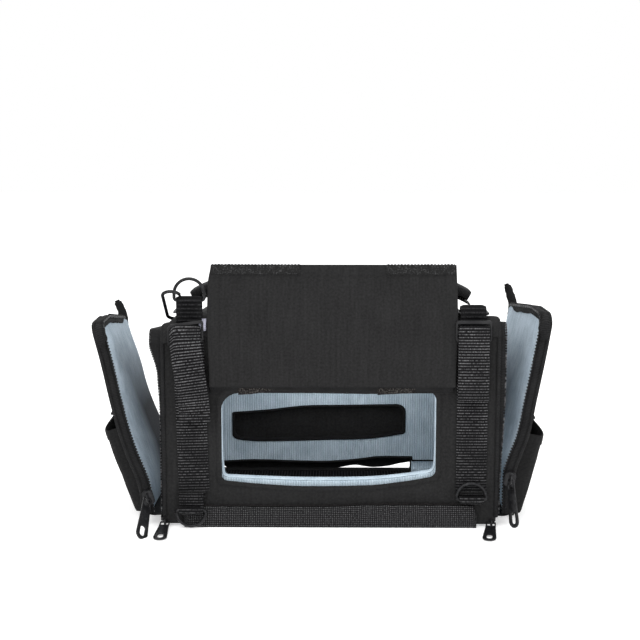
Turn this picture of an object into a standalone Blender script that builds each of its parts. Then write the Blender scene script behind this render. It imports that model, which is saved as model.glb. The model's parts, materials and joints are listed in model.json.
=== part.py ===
"""Soft camera bag with a front window, two drop-down end doors and carrying straps.

Metres, +X to the right, +Y to the back, +Z up. The origin is the middle of the base's underside.
The front cover is folded up and both end doors stand open, each at its own lean.
"""

import math

import bmesh
import bpy
from mathutils import Matrix, Vector

# Case
HALF_WIDTH = 0.133
HALF_DEPTH = 0.075
HEIGHT = 0.170
CORNER = 0.012
FABRIC = 0.002
LINER = 0.004
GAP = 0.0003
PANEL_BOTTOM = 0.0023
FRAME_OUT = {-1: 0.1427, 1: 0.1391}
FRAME_BOTTOM = 0.0075
HINGE_BOTTOM = 0.0095

# Base, from the underside up
BOOT_HALF_WIDTH = 0.118
BOOT_RIM = 0.0187
BOOT_REAR_RIM = 0.0065
BOOT_HALF_DEPTH = 0.077
BOARD = (0.0023, 0.0053)
FLOOR_LINER = (0.0056, 0.0073)
FLOOR_LINER_HALF_WIDTH = 0.125
FLOOR_MAT = (0.0076, 0.0092)
FLOOR_MAT_HALF_WIDTH = 0.128
LINER_BOTTOM = 0.0075

# Openings: left, bottom, right, top
WINDOW = (-0.089, 0.033, 0.085, 0.111)
LINER_WINDOW = (-0.087, 0.037, 0.083, 0.113)
UPPER_SLOT = (-0.090, 0.038, 0.067, 0.069)
LOWER_SLOT = (-0.098, 0.0097, 0.072, 0.0195)

# Covers and the pile strips that hold them
COVER_LEFT, COVER_RIGHT = -0.0968, 0.0990
COVER_AXIS = (-0.0805, 0.116)
COVER_LENGTH = 0.0973
COVER_THICKNESS = 0.003
COVER_LEAN = math.radians(5.0)
HOOK_STRIPS = {-1: (-0.0955, -0.0250), 1: (0.0430, 0.0975)}
HOOK_STRIP_THICKNESS = 0.0014
WINDOW_TABS = {-1: (-0.0735, -0.0385), 1: (0.0375, 0.0675)}
WINDOW_TAB_Z = (0.1090, 0.1195)
WINDOW_TAB_THICKNESS = 0.0018
REAR_COVER = (-0.106, 0.0140, 0.084, 0.0790)
REAR_COVER_AXIS = (0.0780, 0.0790)

# Webbing and metal rings
STRAP_CENTRES = {-1: -0.112, 1: 0.1133}
STRAP_WIDTH = 0.025
TAB_WIDTH = 0.0204
WEBBING = 0.0016
STRAP_BOTTOM = 0.0300
STRAP_TURN = (0.1616, 0.0031)
TAIL_BOTTOM = {-1: 0.088, 1: 0.106}
TAIL_STAND_OFF = {-1: 0.003, 1: 0.0}
TAIL_SLACK = 0.0012
REAR_STRAP_Z = (0.010, 0.157)
SLIDE_HALF_WIDTH = 0.0142
SLIDE_Y = (-0.0804, -0.0780)
SLIDE_Z = (0.1525, 0.1694)
SLIDE_RIM = 0.0013
SLIDE_SLOTS = ((0.1549, 0.1585), (0.1612, 0.1668))
RING_WIRE = 0.0013
RING_HALF_WIDTH = 0.012
UPPER_RING_AXIS = {-1: (-0.0735, 0.1845), 1: (-0.0700, 0.1735)}
UPPER_RING_TURN = {-1: 0.0, 1: math.radians(90)}
UPPER_RING_HEIGHT = 0.0172
LOWER_RING_AXIS = {-1: (-0.0810, 0.0150), 1: (-0.0810, 0.0245)}
LOWER_RING_TURN = {-1: math.radians(180), 1: math.radians(8)}
LOWER_RING_HEIGHT = 0.0130
LOWER_LOOP_HALF_WIDTH = 0.0098
LOWER_LOOP_RADIUS = 0.0027
LOWER_LOOP_TOP = 0.0285
LOWER_LOOP_FRONT_LEG = 0.0028

# Doors, drawn shut and then leaned outwards about their bottom edge
DOOR_AXIS_Z = 0.0097
DOOR_LEAN = {-1: math.radians(15.5), 1: math.radians(9.7)}
DOOR_THICKNESS = 0.0085
DOOR_LINER = 0.0045
POUCH_HALF = 0.050
POUCH_BOTTOM = {-1: 0.0085, 1: 0.0060}
POUCH_TOP = {-1: 0.0835, 1: 0.0765}
POUCH_DEPTH = {-1: (0.0120, 0.0180), 1: (0.0115, 0.0180)}
POUCH_STRAP_HALF = 0.0125
POUCH_STRAP_THICKNESS = 0.0018

# Zip sliders and pulls
SLIDER = (0.0088, 0.0034, 0.0120)
PULL_LENGTH = 0.038
PULL_WIDTH = 0.011
PULL_THICKNESS = 0.0015
SLIDER_HEIGHT = {-1: 0.0250, 1: 0.0410}
PULL_DROP = {-1: math.radians(50), 1: math.radians(14)}
CORNER_SLIDER_X = {-1: -0.1336, 1: 0.1300}
CORNER_PULL_YAW = {-1: 0.0, 1: math.radians(-9)}
CORNER_PULL_DROP = math.radians(-86)
PULL_BAR_HALF = 0.0007
BAIL_REACH = 0.0053
BAIL_EYE = 0.0018
CORNER_BAIL_REACH = (0.0025, 0.0033)
CORNER_BAIL_EYE = 0.0016
PULL_SPLAY = math.radians(4)
BAIL_HALF_WIDTH = 0.0012

# Handle
HANDLE_AXIS = (-0.038, 0.177)
HANDLE_ANCHOR = 0.117
HANDLE_HALF = 0.1125
GRIP_HALF = 0.1080
HANDLE_RISE = 0.0183
HANDLE_WIDTH = 0.024
HANDLE_WEBBING = 0.0018
GRIP_THICKNESS = 0.009

CORDURA = ((0.022, 0.022, 0.023), 0.85, 0.0)
COVER_CLOTH = ((0.034, 0.034, 0.035), 0.80, 0.0)
FELT = ((0.44, 0.53, 0.60), 0.95, 0.0)
TAPE = ((0.012, 0.012, 0.013), 0.70, 0.0)
STRAP = ((0.018, 0.018, 0.019), 0.60, 0.0)
MESH = ((0.045, 0.045, 0.047), 0.35, 0.0)
METAL = ((0.035, 0.035, 0.038), 0.30, 0.9)
PLASTIC = ((0.020, 0.020, 0.021), 0.40, 0.0)
BOARD_LOOK = ((0.060, 0.058, 0.055), 0.60, 0.0)


def clear_scene():
    for thing in list(bpy.data.objects):
        bpy.data.objects.remove(thing, do_unlink=True)


def arc(u, v, radius, start, end, steps=4):
    """Points on an arc about (u, v), from one angle in degrees to another."""
    points = []
    for step in range(steps + 1):
        angle = math.radians(start + (end - start) * step / steps)
        points.append((u + radius * math.cos(angle), v + radius * math.sin(angle)))
    return points


def rectangle(left, bottom, right, top, lower=0.0, upper=0.0):
    """A rectangle whose two lower and two upper corners may be rounded."""
    outline = []
    for u, v, radius, start in (
        (left, bottom, lower, 180),
        (right, bottom, lower, 270),
        (right, top, upper, 0),
        (left, top, upper, 90),
    ):
        if radius == 0.0:
            outline.append((u, v))
            continue
        inward_u = radius if u == left else -radius
        inward_v = radius if v == bottom else -radius
        outline += arc(u + inward_u, v + inward_v, radius, start, start + 90)
    return outline


def band(path, thickness):
    """The closed outline of a band that follows an open path, half its thickness to each side."""
    sides = ([], [])
    for index, point in enumerate(path):
        before = Vector(path[max(index - 1, 0)])
        after = Vector(path[min(index + 1, len(path) - 1)])
        along = (after - before).normalized()
        across = Vector((-along.y, along.x)) * thickness / 2
        sides[0].append(tuple(Vector(point) + across))
        sides[1].append(tuple(Vector(point) - across))
    return sides[0] + sides[1][::-1]


def in_space(u, v, depth, axis):
    """A point of a flat outline, at a depth along the axis that the outline faces."""
    return {"X": (depth, u, v), "Y": (u, depth, v), "Z": (u, v, depth)}[axis]


def slab(outline, low, high, axis, holes=()):
    """A flat outline with holes, made solid between two depths along an axis."""
    bm = bmesh.new()
    edges = []
    for loop in (outline, *holes):
        verts = [bm.verts.new(in_space(u, v, low, axis)) for u, v in loop]
        edges += [bm.edges.new((verts[i - 1], verts[i])) for i in range(len(verts))]
    bmesh.ops.triangle_fill(bm, use_beauty=True, use_dissolve=False, edges=edges)
    grown = bmesh.ops.extrude_face_region(bm, geom=bm.faces[:], use_keep_orig=True)
    moved = [item for item in grown["geom"] if isinstance(item, bmesh.types.BMVert)]
    bmesh.ops.translate(bm, verts=moved, vec=in_space(0, 0, high - low, axis))
    return bm


def loft(loops, closed=False):
    """A skin through loops that have the same number of points, capped unless it closes on itself."""
    bm = bmesh.new()
    rings = [[bm.verts.new(point) for point in loop] for loop in loops]
    pairs = list(zip(rings, rings[1:]))
    if closed:
        pairs.append((rings[-1], rings[0]))
    else:
        bm.faces.new(rings[0])
        bm.faces.new(rings[-1])
    for first, second in pairs:
        for index in range(len(first)):
            bm.faces.new((first[index - 1], first[index], second[index], second[index - 1]))
    return bm


def wire(path, normal, radius, closed, sides=8):
    """A round wire along a flat path whose plane has the given normal."""
    normal = Vector(normal).normalized()
    loops = []
    count = len(path)
    for index, point in enumerate(path):
        if closed:
            before, after = path[index - 1], path[(index + 1) % count]
        else:
            before, after = path[max(index - 1, 0)], path[min(index + 1, count - 1)]
        along = (Vector(after) - Vector(before)).normalized()
        across = along.cross(normal)
        loop = []
        for side in range(sides):
            angle = 2 * math.pi * side / sides
            loop.append(Vector(point) + radius * (math.cos(angle) * across + math.sin(angle) * normal))
        loops.append(loop)
    return loft(loops, closed)


def add_piece(name, bm, look, pivot=(0, 0, 0), parent=None):
    """Turn a bmesh into a named object whose origin is the pivot, both in the parent's frame."""
    bmesh.ops.recalc_face_normals(bm, faces=bm.faces)
    bmesh.ops.translate(bm, verts=bm.verts, vec=-Vector(pivot))
    mesh = bpy.data.meshes.new(name)
    bm.to_mesh(mesh)
    bm.free()
    colour, roughness, metallic = look
    material = bpy.data.materials.new(name)
    material.use_nodes = True
    shader = material.node_tree.nodes["Principled BSDF"]
    shader.inputs["Base Color"].default_value = (*colour, 1.0)
    shader.inputs["Roughness"].default_value = roughness
    shader.inputs["Metallic"].default_value = metallic
    mesh.materials.append(material)
    piece = bpy.data.objects.new(name, mesh)
    piece.location = pivot
    piece.parent = parent
    bpy.context.scene.collection.objects.link(piece)
    return piece


def add_axis(name, place, turn=(0, 0, 0)):
    """An empty on a joint's axis."""
    axis = bpy.data.objects.new(name, None)
    axis.location = place
    axis.rotation_euler = turn
    bpy.context.scene.collection.objects.link(axis)
    return axis


def merge(piece, tool):
    """Join a second solid into a piece with a Boolean union."""
    tool.hide_render = True
    tool.display_type = "WIRE"
    union = piece.modifiers.new("union", "BOOLEAN")
    union.operation = "UNION"
    union.solver = "EXACT"
    union.object = tool


def side_name(side):
    return "left" if side < 0 else "right"


def mirrored(low, high, side):
    """The ends of a span along X, swapped over for the left side."""
    return (low, high) if side > 0 else (-high, -low)


def make_walls():
    """Front, rear and top of the case, each an outer fabric over a felt liner."""
    shoulder = HEIGHT - CORNER - GAP
    notch = BOOT_HALF_WIDTH - 0.0020
    wall = [(-HALF_WIDTH, shoulder), (-HALF_WIDTH, FRAME_BOTTOM), (-BOOT_HALF_WIDTH, FRAME_BOTTOM)]
    wall += [(-notch, PANEL_BOTTOM), (notch, PANEL_BOTTOM)]
    wall += [(BOOT_HALF_WIDTH, FRAME_BOTTOM), (HALF_WIDTH, FRAME_BOTTOM), (HALF_WIDTH, shoulder)]
    window = rectangle(*WINDOW, lower=0.009, upper=0.007)
    upper_slot = rectangle(*UPPER_SLOT, lower=0.010, upper=0.010)
    lower_slot = rectangle(*LOWER_SLOT, lower=0.0015, upper=0.0015)
    outer = HALF_DEPTH
    inner = HALF_DEPTH - FABRIC
    add_piece("front_panel", slab(wall, -outer, -inner, "Y", [window]), CORDURA)
    add_piece("rear_panel", slab(wall, inner, outer, "Y", [upper_slot, lower_slot]), CORDURA)

    liner_outer = inner - GAP
    liner_inner = liner_outer - LINER
    lining = rectangle(-HALF_WIDTH, LINER_BOTTOM, HALF_WIDTH, HEIGHT - CORNER + 0.0018)
    liner_window = rectangle(*LINER_WINDOW, lower=0.008, upper=0.006)
    add_piece("front_liner", slab(lining, -liner_outer, -liner_inner, "Y", [liner_window]), FELT)
    add_piece("rear_liner", slab(lining, liner_inner, liner_outer, "Y", [upper_slot, lower_slot]), FELT)

    crown = arc(-HALF_DEPTH + CORNER, HEIGHT - CORNER, CORNER, 180, 90, 5)
    crown += arc(HALF_DEPTH - CORNER, HEIGHT - CORNER, CORNER, 90, 0, 5)
    under = arc(HALF_DEPTH - CORNER, HEIGHT - CORNER, CORNER - FABRIC, 0, 90, 5)
    under += arc(-HALF_DEPTH + CORNER, HEIGHT - CORNER, CORNER - FABRIC, 90, 180, 5)
    add_piece("top_panel", slab(crown + under, -HALF_WIDTH, HALF_WIDTH, "X"), CORDURA)
    half = HALF_DEPTH - CORNER
    ceiling = rectangle(-HALF_WIDTH + 0.001, -half, HALF_WIDTH - 0.001, half)
    add_piece("top_liner", slab(ceiling, HEIGHT - 0.0055, HEIGHT - FABRIC - GAP, "Z"), FELT)


def make_base():
    """The woven boot round the base, the stiffening board, the floor liner and the loose mat."""
    half = BOOT_HALF_DEPTH
    inner = HALF_DEPTH + GAP
    boot = [
        (-half, BOOT_RIM),
        (-half, 0.0),
        (half, 0.0),
        (half, BOOT_REAR_RIM),
        (inner, BOOT_REAR_RIM),
        (inner, PANEL_BOTTOM - GAP),
        (-inner, PANEL_BOTTOM - GAP),
        (-inner, BOOT_RIM),
    ]
    add_piece("base_boot", slab(boot, -BOOT_HALF_WIDTH, BOOT_HALF_WIDTH, "X"), MESH)
    depth = HALF_DEPTH - FABRIC - GAP
    width = BOOT_HALF_WIDTH - 0.0030
    add_piece("base_board", slab(rectangle(-width, -depth, width, depth), *BOARD, "Z"), BOARD_LOOK)
    depth -= LINER + GAP
    for name, half, span, look in (
        ("floor_liner", FLOOR_LINER_HALF_WIDTH, FLOOR_LINER, FELT),
        ("floor_mat", FLOOR_MAT_HALF_WIDTH, FLOOR_MAT, TAPE),
    ):
        add_piece(name, slab(rectangle(-half, -depth, half, depth), *span, "Z"), look)


def end_outline():
    return rectangle(-HALF_DEPTH, FRAME_BOTTOM, HALF_DEPTH, HEIGHT, lower=0.0, upper=CORNER)


def make_end_frame(side):
    """The zip tape round an end of the case, with the fabric hinge of the door along its bottom."""
    inside = HALF_DEPTH - FABRIC
    hole = rectangle(-inside, HINGE_BOTTOM, inside, HEIGHT - FABRIC, upper=CORNER - FABRIC)
    span = mirrored(HALF_WIDTH + GAP, FRAME_OUT[side], side)
    add_piece(side_name(side) + "_end_frame", slab(end_outline(), *span, "X", [hole]), TAPE)


def make_front_strap(side):
    """Webbing from a lower loop up through a three-bar slide, over its middle bar and down as a tail."""
    name = side_name(side)
    centre = STRAP_CENTRES[side]
    span = (centre - STRAP_WIDTH / 2, centre + STRAP_WIDTH / 2)
    back = -HALF_DEPTH - GAP - WEBBING / 2
    turn_z, turn_radius = STRAP_TURN
    turn_y = back - turn_radius
    tail_y = turn_y - turn_radius
    path = [(back, STRAP_BOTTOM), (back, 0.0900), (back, 0.1500)]
    path += arc(turn_y, turn_z, turn_radius, 0, 180, 6)
    path += [(tail_y - 0.0005, 0.1500), (tail_y - TAIL_STAND_OFF[side], TAIL_BOTTOM[side])]
    bm = slab(band(path, WEBBING), *span, "X")
    if side < 0:
        for vert in bm.verts:
            if vert.co.y < turn_y - turn_radius / 2 and vert.co.z < 0.1:
                vert.co.x += TAIL_SLACK
    add_piece(name + "_front_strap", bm, STRAP)

    half = SLIDE_HALF_WIDTH
    slide = rectangle(centre - half, SLIDE_Z[0], centre + half, SLIDE_Z[1], 0.0015, 0.0015)
    half -= SLIDE_RIM
    holes = [rectangle(centre - half, low, centre + half, high) for low, high in SLIDE_SLOTS]
    add_piece(name + "_three_bar_slide", slab(slide, *SLIDE_Y, "Y", holes), PLASTIC)


def make_rear_strap(side):
    centre = STRAP_CENTRES[side]
    half = STRAP_WIDTH / 2
    strap = rectangle(centre - half, REAR_STRAP_Z[0], centre + half, REAR_STRAP_Z[1])
    back = HALF_DEPTH + GAP
    add_piece(side_name(side) + "_rear_strap", slab(strap, back, back + WEBBING, "Y"), STRAP)


def make_ring_loops(side):
    """The webbing tabs that hold the upper and the lower D-ring."""
    name = side_name(side)
    centre = STRAP_CENTRES[side]
    span = (centre - TAB_WIDTH / 2, centre + TAB_WIDTH / 2)
    front = -HALF_DEPTH - GAP - WEBBING / 2
    axis_y, axis_z = UPPER_RING_AXIS[side]
    radius = axis_y - front
    path = [(front, 0.1664)] + arc(axis_y, axis_z, radius, 180, 0, 6)
    crown = (HALF_DEPTH - CORNER, HEIGHT - CORNER)
    reach = min(axis_y + radius + WEBBING / 2, -crown[0])
    surface = crown[1] + math.sqrt(CORNER ** 2 - (crown[0] + reach) ** 2)
    path += [(axis_y + radius, surface + 2 * GAP)]
    add_piece(name + "_ring_tab", slab(band(path, WEBBING), *span, "X"), STRAP)

    axis_y, axis_z = LOWER_RING_AXIS[side]
    radius = LOWER_LOOP_RADIUS
    path = [(axis_y + radius, LOWER_LOOP_TOP)]
    path += arc(axis_y, axis_z, radius, 0, -180, 6)
    path += [(axis_y - radius, axis_z + LOWER_LOOP_FRONT_LEG)]
    span = (centre - LOWER_LOOP_HALF_WIDTH, centre + LOWER_LOOP_HALF_WIDTH)
    add_piece(name + "_lower_loop", slab(band(path, WEBBING), *span, "X"), STRAP)


def make_ring(name, place, height, turn):
    """A D-shaped wire ring, its straight bar on the axis, turned back about the bar from upright."""
    radius = RING_HALF_WIDTH
    corner = 0.0018
    outline = arc(-radius + corner, corner, corner, 180, 270, 2)
    outline += arc(radius - corner, corner, corner, 270, 360, 2)
    outline += arc(0, height - radius, radius, 0, 180, 10)
    x, y, z = place
    path = [(x + u, y + v * math.sin(turn), z + v * math.cos(turn)) for u, v in outline]
    normal = (0, math.cos(turn), -math.sin(turn))
    add_piece(name, wire(path, normal, RING_WIRE, True), METAL, place)


def make_rings(side):
    name = side_name(side)
    x = STRAP_CENTRES[side]
    upper = (x, *UPPER_RING_AXIS[side])
    make_ring(name + "_upper_ring", upper, UPPER_RING_HEIGHT, UPPER_RING_TURN[side])
    lower = (x, *LOWER_RING_AXIS[side])
    make_ring(name + "_lower_ring", lower, LOWER_RING_HEIGHT, LOWER_RING_TURN[side])


def make_snap_hook():
    """A wire hook through the left upper ring, its tail resting on the top, with a sprung gate."""
    slope = math.radians(28)
    along = Vector((0, math.cos(slope), -math.sin(slope)))
    start = Vector((-0.1265, -0.0770, 0.1945))
    normal = Vector((1, 0, 0)).cross(along)

    def place(u, v):
        return start + Vector((u, 0, 0)) + along * v

    nose, nose_v = 0.0070, 0.0055
    heel, heel_v = 0.0040, 0.0385
    outline = arc(0, nose_v, nose, -20, -180, 9)
    outline += arc(0, heel_v, heel, 180, 0, 6)
    outline += [(0.0050, 0.0300)]
    path = [place(u, v) for u, v in outline]
    pivot = Vector((-0.124, UPPER_RING_AXIS[-1][0], 0.1927))
    add_piece("snap_hook", wire(path, normal, RING_WIRE, False), METAL, pivot)

    gate_foot = place(0.0053, 0.0283)
    gate_tip = place(0.0068, 0.0052)
    gate = wire([gate_foot, gate_tip], normal, 0.0010, False)
    add_piece("snap_hook_gate", gate, METAL, gate_foot)


def make_window_tabs():
    """Loop-pile tabs at the top edge of the window, under the front cover's hinge."""
    high = -HALF_DEPTH - GAP
    for side, (left, right) in WINDOW_TABS.items():
        tab = rectangle(left, WINDOW_TAB_Z[0], right, WINDOW_TAB_Z[1], 0.001, 0.001)
        bm = slab(tab, high - WINDOW_TAB_THICKNESS, high, "Y")
        add_piece(side_name(side) + "_window_tab", bm, TAPE)


def make_front_cover():
    """The window's cover, folded up about its hinge, with the hook strips on its free edge."""
    pivot = (0, *COVER_AXIS)
    axis = add_axis("front_cover_axis", pivot, (-COVER_LEAN, 0, 0))
    half = COVER_THICKNESS / 2
    cover = rectangle(COVER_LEFT, 0.0, COVER_RIGHT, COVER_LENGTH, upper=0.004)
    add_piece("front_cover", slab(cover, -half, half, "Y"), COVER_CLOTH, parent=axis)
    low = -half - GAP - HOOK_STRIP_THICKNESS
    for side, (left, right) in HOOK_STRIPS.items():
        strip = rectangle(left, COVER_LENGTH - 0.0075, right, COVER_LENGTH - 0.0005)
        name = side_name(side) + "_cover_hook_strip"
        add_piece(name, slab(strip, low, -half - GAP, "Y"), TAPE, parent=axis)


def make_rear_cover():
    """The cloth that hangs outside the rear slots."""
    left, bottom, right, top = REAR_COVER
    y = REAR_COVER_AXIS[0]
    half = 0.0010
    cover = slab(rectangle(left, bottom, right, top, lower=0.004), y - half, y + half, "Y")
    add_piece("rear_cover", cover, CORDURA, (0, *REAR_COVER_AXIS))


def make_handle():
    """An arched carrying handle on two sewn anchors."""
    y, z = HANDLE_AXIS
    span = (y - HANDLE_WIDTH / 2, y + HANDLE_WIDTH / 2)
    for side in (-1, 1):
        foot = [
            (side * (HANDLE_ANCHOR + 0.011), HEIGHT + 0.0013),
            (side * (HANDLE_ANCHOR + 0.004), HEIGHT + 0.0013),
            (side * (HANDLE_ANCHOR + 0.001), HEIGHT + 0.0026),
            (side * (HANDLE_ANCHOR - 0.002), z - 0.0010),
        ]
        anchor = slab(band(foot, HANDLE_WEBBING), *span, "Y")
        add_piece(side_name(side) + "_handle_anchor", anchor, STRAP)

    def arch(half, lift):
        steps = 14
        points = []
        for step in range(steps + 1):
            u = half * (2 * step / steps - 1)
            rise = HANDLE_RISE * (1 - abs(u / HANDLE_HALF) ** 3.5)
            points.append((u, z + 0.0012 + rise + lift))
        return points

    pivot = (0, y, z)
    webbing = band(arch(HANDLE_HALF, 0.0), HANDLE_WEBBING)
    add_piece("handle_webbing", slab(webbing, *span, "Y"), STRAP, pivot)
    lift = (HANDLE_WEBBING + GRIP_THICKNESS) / 2 + 4 * GAP
    grip = band(arch(GRIP_HALF, lift), GRIP_THICKNESS)
    add_piece("handle_grip", slab(grip, span[0] - 0.002, span[1] + 0.002, "Y"), STRAP, pivot)


def make_pull(name, place, tilt, drop, parent):
    """A flat zip pull, its bar in the slider's bail, tilted and then hanging at an angle."""
    half = PULL_WIDTH / 2
    outline = arc(0, PULL_LENGTH - half, half, 180, 0, 6)
    bar = PULL_BAR_HALF
    outline += [(0.0042, 0.012), (0.0040, -bar), (-0.0040, -bar), (-0.0042, 0.012)]
    window = rectangle(-0.0029, bar, 0.0029, 0.0072)
    eye = rectangle(-0.0022, PULL_LENGTH - 0.0120, 0.0022, PULL_LENGTH - 0.0032, 0.0021, 0.0021)
    half_thick = PULL_THICKNESS / 2
    bm = slab([(u, -v) for u, v in outline], -half_thick, half_thick, "Y",
              [[(u, -v) for u, v in window], [(u, -v) for u, v in eye]])
    swing = tilt @ Matrix.Rotation(drop, 4, "X")
    bm.transform(Matrix.Translation(Vector(place)) @ swing)
    add_piece(name, bm, METAL, place, parent)


def make_slider(name, place, facing, parent):
    """A zip slider whose bail stands out towards facing. The place is the middle of its back."""
    wide, thick, tall = (value / 2 for value in SLIDER)
    body = slab(rectangle(-wide, -tall, wide, tall, 0.0025, 0.0025), -2 * thick, 0, "Y")
    bail_outline = [(-0.0026, -0.0028), (-0.0068, -0.0028), (-0.0076, -0.0018)]
    bail_outline += [(-0.0076, 0.0018), (-0.0068, 0.0028), (-0.0026, 0.0028)]
    eye = arc(-BAIL_REACH, 0, BAIL_EYE, 0, 315, 7)
    bail = slab(bail_outline, -BAIL_HALF_WIDTH, BAIL_HALF_WIDTH, "X", [eye])
    turn = Matrix.Rotation(math.radians(180) if facing > 0 else 0.0, 4, "Z")
    for bm in (body, bail):
        bm.transform(Matrix.Translation(Vector(place)) @ turn)
    slider = add_piece(name, body, METAL, place, parent)
    tool = add_piece(name + "_bail", bail, METAL, place, parent)
    merge(slider, tool)


def make_door(side):
    """An end door: shell, liner, zip tape, outside pouch with its strap, and two zip sliders."""
    name = side_name(side)
    door_in = FRAME_OUT[side] + GAP
    door_out = door_in + DOOR_THICKNESS
    hinge_x, hinge_z = side * (door_in - GAP / 2), DOOR_AXIS_Z
    axis = add_axis(name + "_door_axis", (hinge_x, 0, hinge_z), (0, side * DOOR_LEAN[side], 0))
    shift = Matrix.Translation((-hinge_x, 0, -hinge_z))

    def add(part, bm, look):
        bm.transform(shift)
        add_piece(name + "_door_" + part, bm, look, parent=axis)

    low = hinge_z + GAP
    inside = HALF_DEPTH - FABRIC
    tape = [(-HALF_DEPTH, low)] + arc(-HALF_DEPTH + CORNER, HEIGHT - CORNER, CORNER, 180, 90)
    tape += arc(HALF_DEPTH - CORNER, HEIGHT - CORNER, CORNER, 90, 0) + [(HALF_DEPTH, low)]
    under = [(inside, low)] + arc(HALF_DEPTH - CORNER, HEIGHT - CORNER, CORNER - FABRIC, 0, 90)
    under += arc(-HALF_DEPTH + CORNER, HEIGHT - CORNER, CORNER - FABRIC, 90, 180) + [(-inside, low)]
    add("tape", slab(tape + under, *mirrored(door_in, door_out, side), "X"), TAPE)

    half = inside - GAP
    face = rectangle(-half, low, half, HEIGHT - FABRIC - GAP, upper=CORNER - FABRIC - GAP)
    split = door_in + DOOR_LINER
    add("liner", slab(face, *mirrored(door_in + GAP, split, side), "X"), FELT)
    add("shell", slab(face, *mirrored(split + GAP, door_out, side), "X"), CORDURA)

    wall = FABRIC
    near = door_out + GAP
    loops = []
    bottom, top = POUCH_BOTTOM[side], POUCH_TOP[side]
    shallow, deep = POUCH_DEPTH[side]
    for inset, base, depth in (
        (0.0, bottom, shallow),
        (0.0, top, deep),
        (wall, top, deep - wall),
        (wall, bottom + wall, shallow - wall),
    ):
        wide = POUCH_HALF - inset
        x_near, x_far = side * (near + inset), side * (near + depth)
        loops.append([(x_near, -wide, base), (x_far, -wide, base), (x_far, wide, base), (x_near, wide, base)])
    add("pouch", loft(loops), CORDURA)

    strap = [(0.0010, 0.0190), (0.0020, 0.0110), (0.0060, 0.0048), (0.0115, 0.0033), (0.0155, 0.0046)]
    strap = [(side * (near + u), top + v) for u, v in strap]
    outline = band(strap, POUCH_STRAP_THICKNESS)
    add("pouch_strap", slab(outline, -POUCH_STRAP_HALF, POUCH_STRAP_HALF, "Y"), STRAP)

    height = SLIDER_HEIGHT[side] - hinge_z
    for facing, where in ((-1, "front"), (1, "rear")):
        y = facing * (HALF_DEPTH + GAP)
        place = (0, y, height)
        make_slider(name + "_" + where + "_slider", place, facing, axis)
        bar = (0, y + facing * BAIL_REACH, height)
        tilt = -side * (DOOR_LEAN[side] + PULL_SPLAY)
        drop = facing * PULL_DROP[side]
        make_pull(name + "_" + where + "_pull", bar, Matrix.Rotation(tilt, 4, "Y"), drop, axis)


def make_corner_slider(side):
    """A slider parked under a front corner of the case, its pull lying towards the front."""
    name = side_name(side) + "_corner"
    x = CORNER_SLIDER_X[side]
    place = (x, -0.0680, FRAME_BOTTOM - GAP)
    wide, thick, tall = (value / 2 for value in SLIDER)
    body = slab(rectangle(-wide, -tall, wide, tall, 0.0025, 0.0025), -2 * thick, 0, "Z")
    bail_outline = [(-tall + 0.0015, -0.0010), (-tall + 0.0015, -0.0040), (-tall - 0.0042, -0.0062)]
    bail_outline += [(-tall - 0.0052, -0.0050), (-tall - 0.0048, -0.0008)]
    reach, fall = CORNER_BAIL_REACH
    eye = arc(-tall - reach, -fall, CORNER_BAIL_EYE, 0, 315, 7)
    bail = slab(bail_outline, -BAIL_HALF_WIDTH, BAIL_HALF_WIDTH, "X", [eye])
    for bm in (body, bail):
        bm.transform(Matrix.Translation(Vector(place)))
    slider = add_piece(name + "_slider", body, METAL, place)
    tool = add_piece(name + "_slider_bail", bail, METAL, place)
    merge(slider, tool)
    bar = (x, place[1] - tall - reach, place[2] - fall)
    yaw = Matrix.Rotation(CORNER_PULL_YAW[side], 4, "Z")
    make_pull(name + "_pull", bar, yaw, CORNER_PULL_DROP, None)


def main():
    clear_scene()
    make_walls()
    make_base()
    make_window_tabs()
    make_front_cover()
    make_rear_cover()
    make_handle()
    make_snap_hook()
    for side in (-1, 1):
        make_end_frame(side)
        make_front_strap(side)
        make_rear_strap(side)
        make_ring_loops(side)
        make_rings(side)
        make_door(side)
        make_corner_slider(side)


main()
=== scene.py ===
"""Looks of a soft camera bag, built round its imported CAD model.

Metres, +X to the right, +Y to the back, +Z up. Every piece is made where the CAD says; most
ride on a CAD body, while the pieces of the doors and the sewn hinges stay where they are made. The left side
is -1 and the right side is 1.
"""
import json
import math

import bmesh
import bpy
import numpy as np
from mathutils import Matrix, Vector, noise


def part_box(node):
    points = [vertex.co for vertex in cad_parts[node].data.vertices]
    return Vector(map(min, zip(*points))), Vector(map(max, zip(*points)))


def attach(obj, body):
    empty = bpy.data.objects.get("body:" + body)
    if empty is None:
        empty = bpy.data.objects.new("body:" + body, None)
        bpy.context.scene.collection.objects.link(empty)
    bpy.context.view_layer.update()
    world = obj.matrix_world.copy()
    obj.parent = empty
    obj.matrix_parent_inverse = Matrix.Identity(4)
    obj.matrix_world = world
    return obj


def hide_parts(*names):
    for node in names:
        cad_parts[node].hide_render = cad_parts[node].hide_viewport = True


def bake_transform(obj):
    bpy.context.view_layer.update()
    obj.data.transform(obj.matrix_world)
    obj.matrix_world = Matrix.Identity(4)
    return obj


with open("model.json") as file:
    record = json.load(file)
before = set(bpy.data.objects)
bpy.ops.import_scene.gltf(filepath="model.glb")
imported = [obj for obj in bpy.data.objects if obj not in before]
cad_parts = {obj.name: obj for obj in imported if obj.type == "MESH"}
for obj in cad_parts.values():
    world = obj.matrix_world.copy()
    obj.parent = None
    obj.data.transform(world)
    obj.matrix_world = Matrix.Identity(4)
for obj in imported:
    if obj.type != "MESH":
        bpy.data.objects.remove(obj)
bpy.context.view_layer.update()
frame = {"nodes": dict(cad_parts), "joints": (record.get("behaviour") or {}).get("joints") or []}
JOINTS = {joint["name"]: joint for joint in frame["joints"]}

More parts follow.
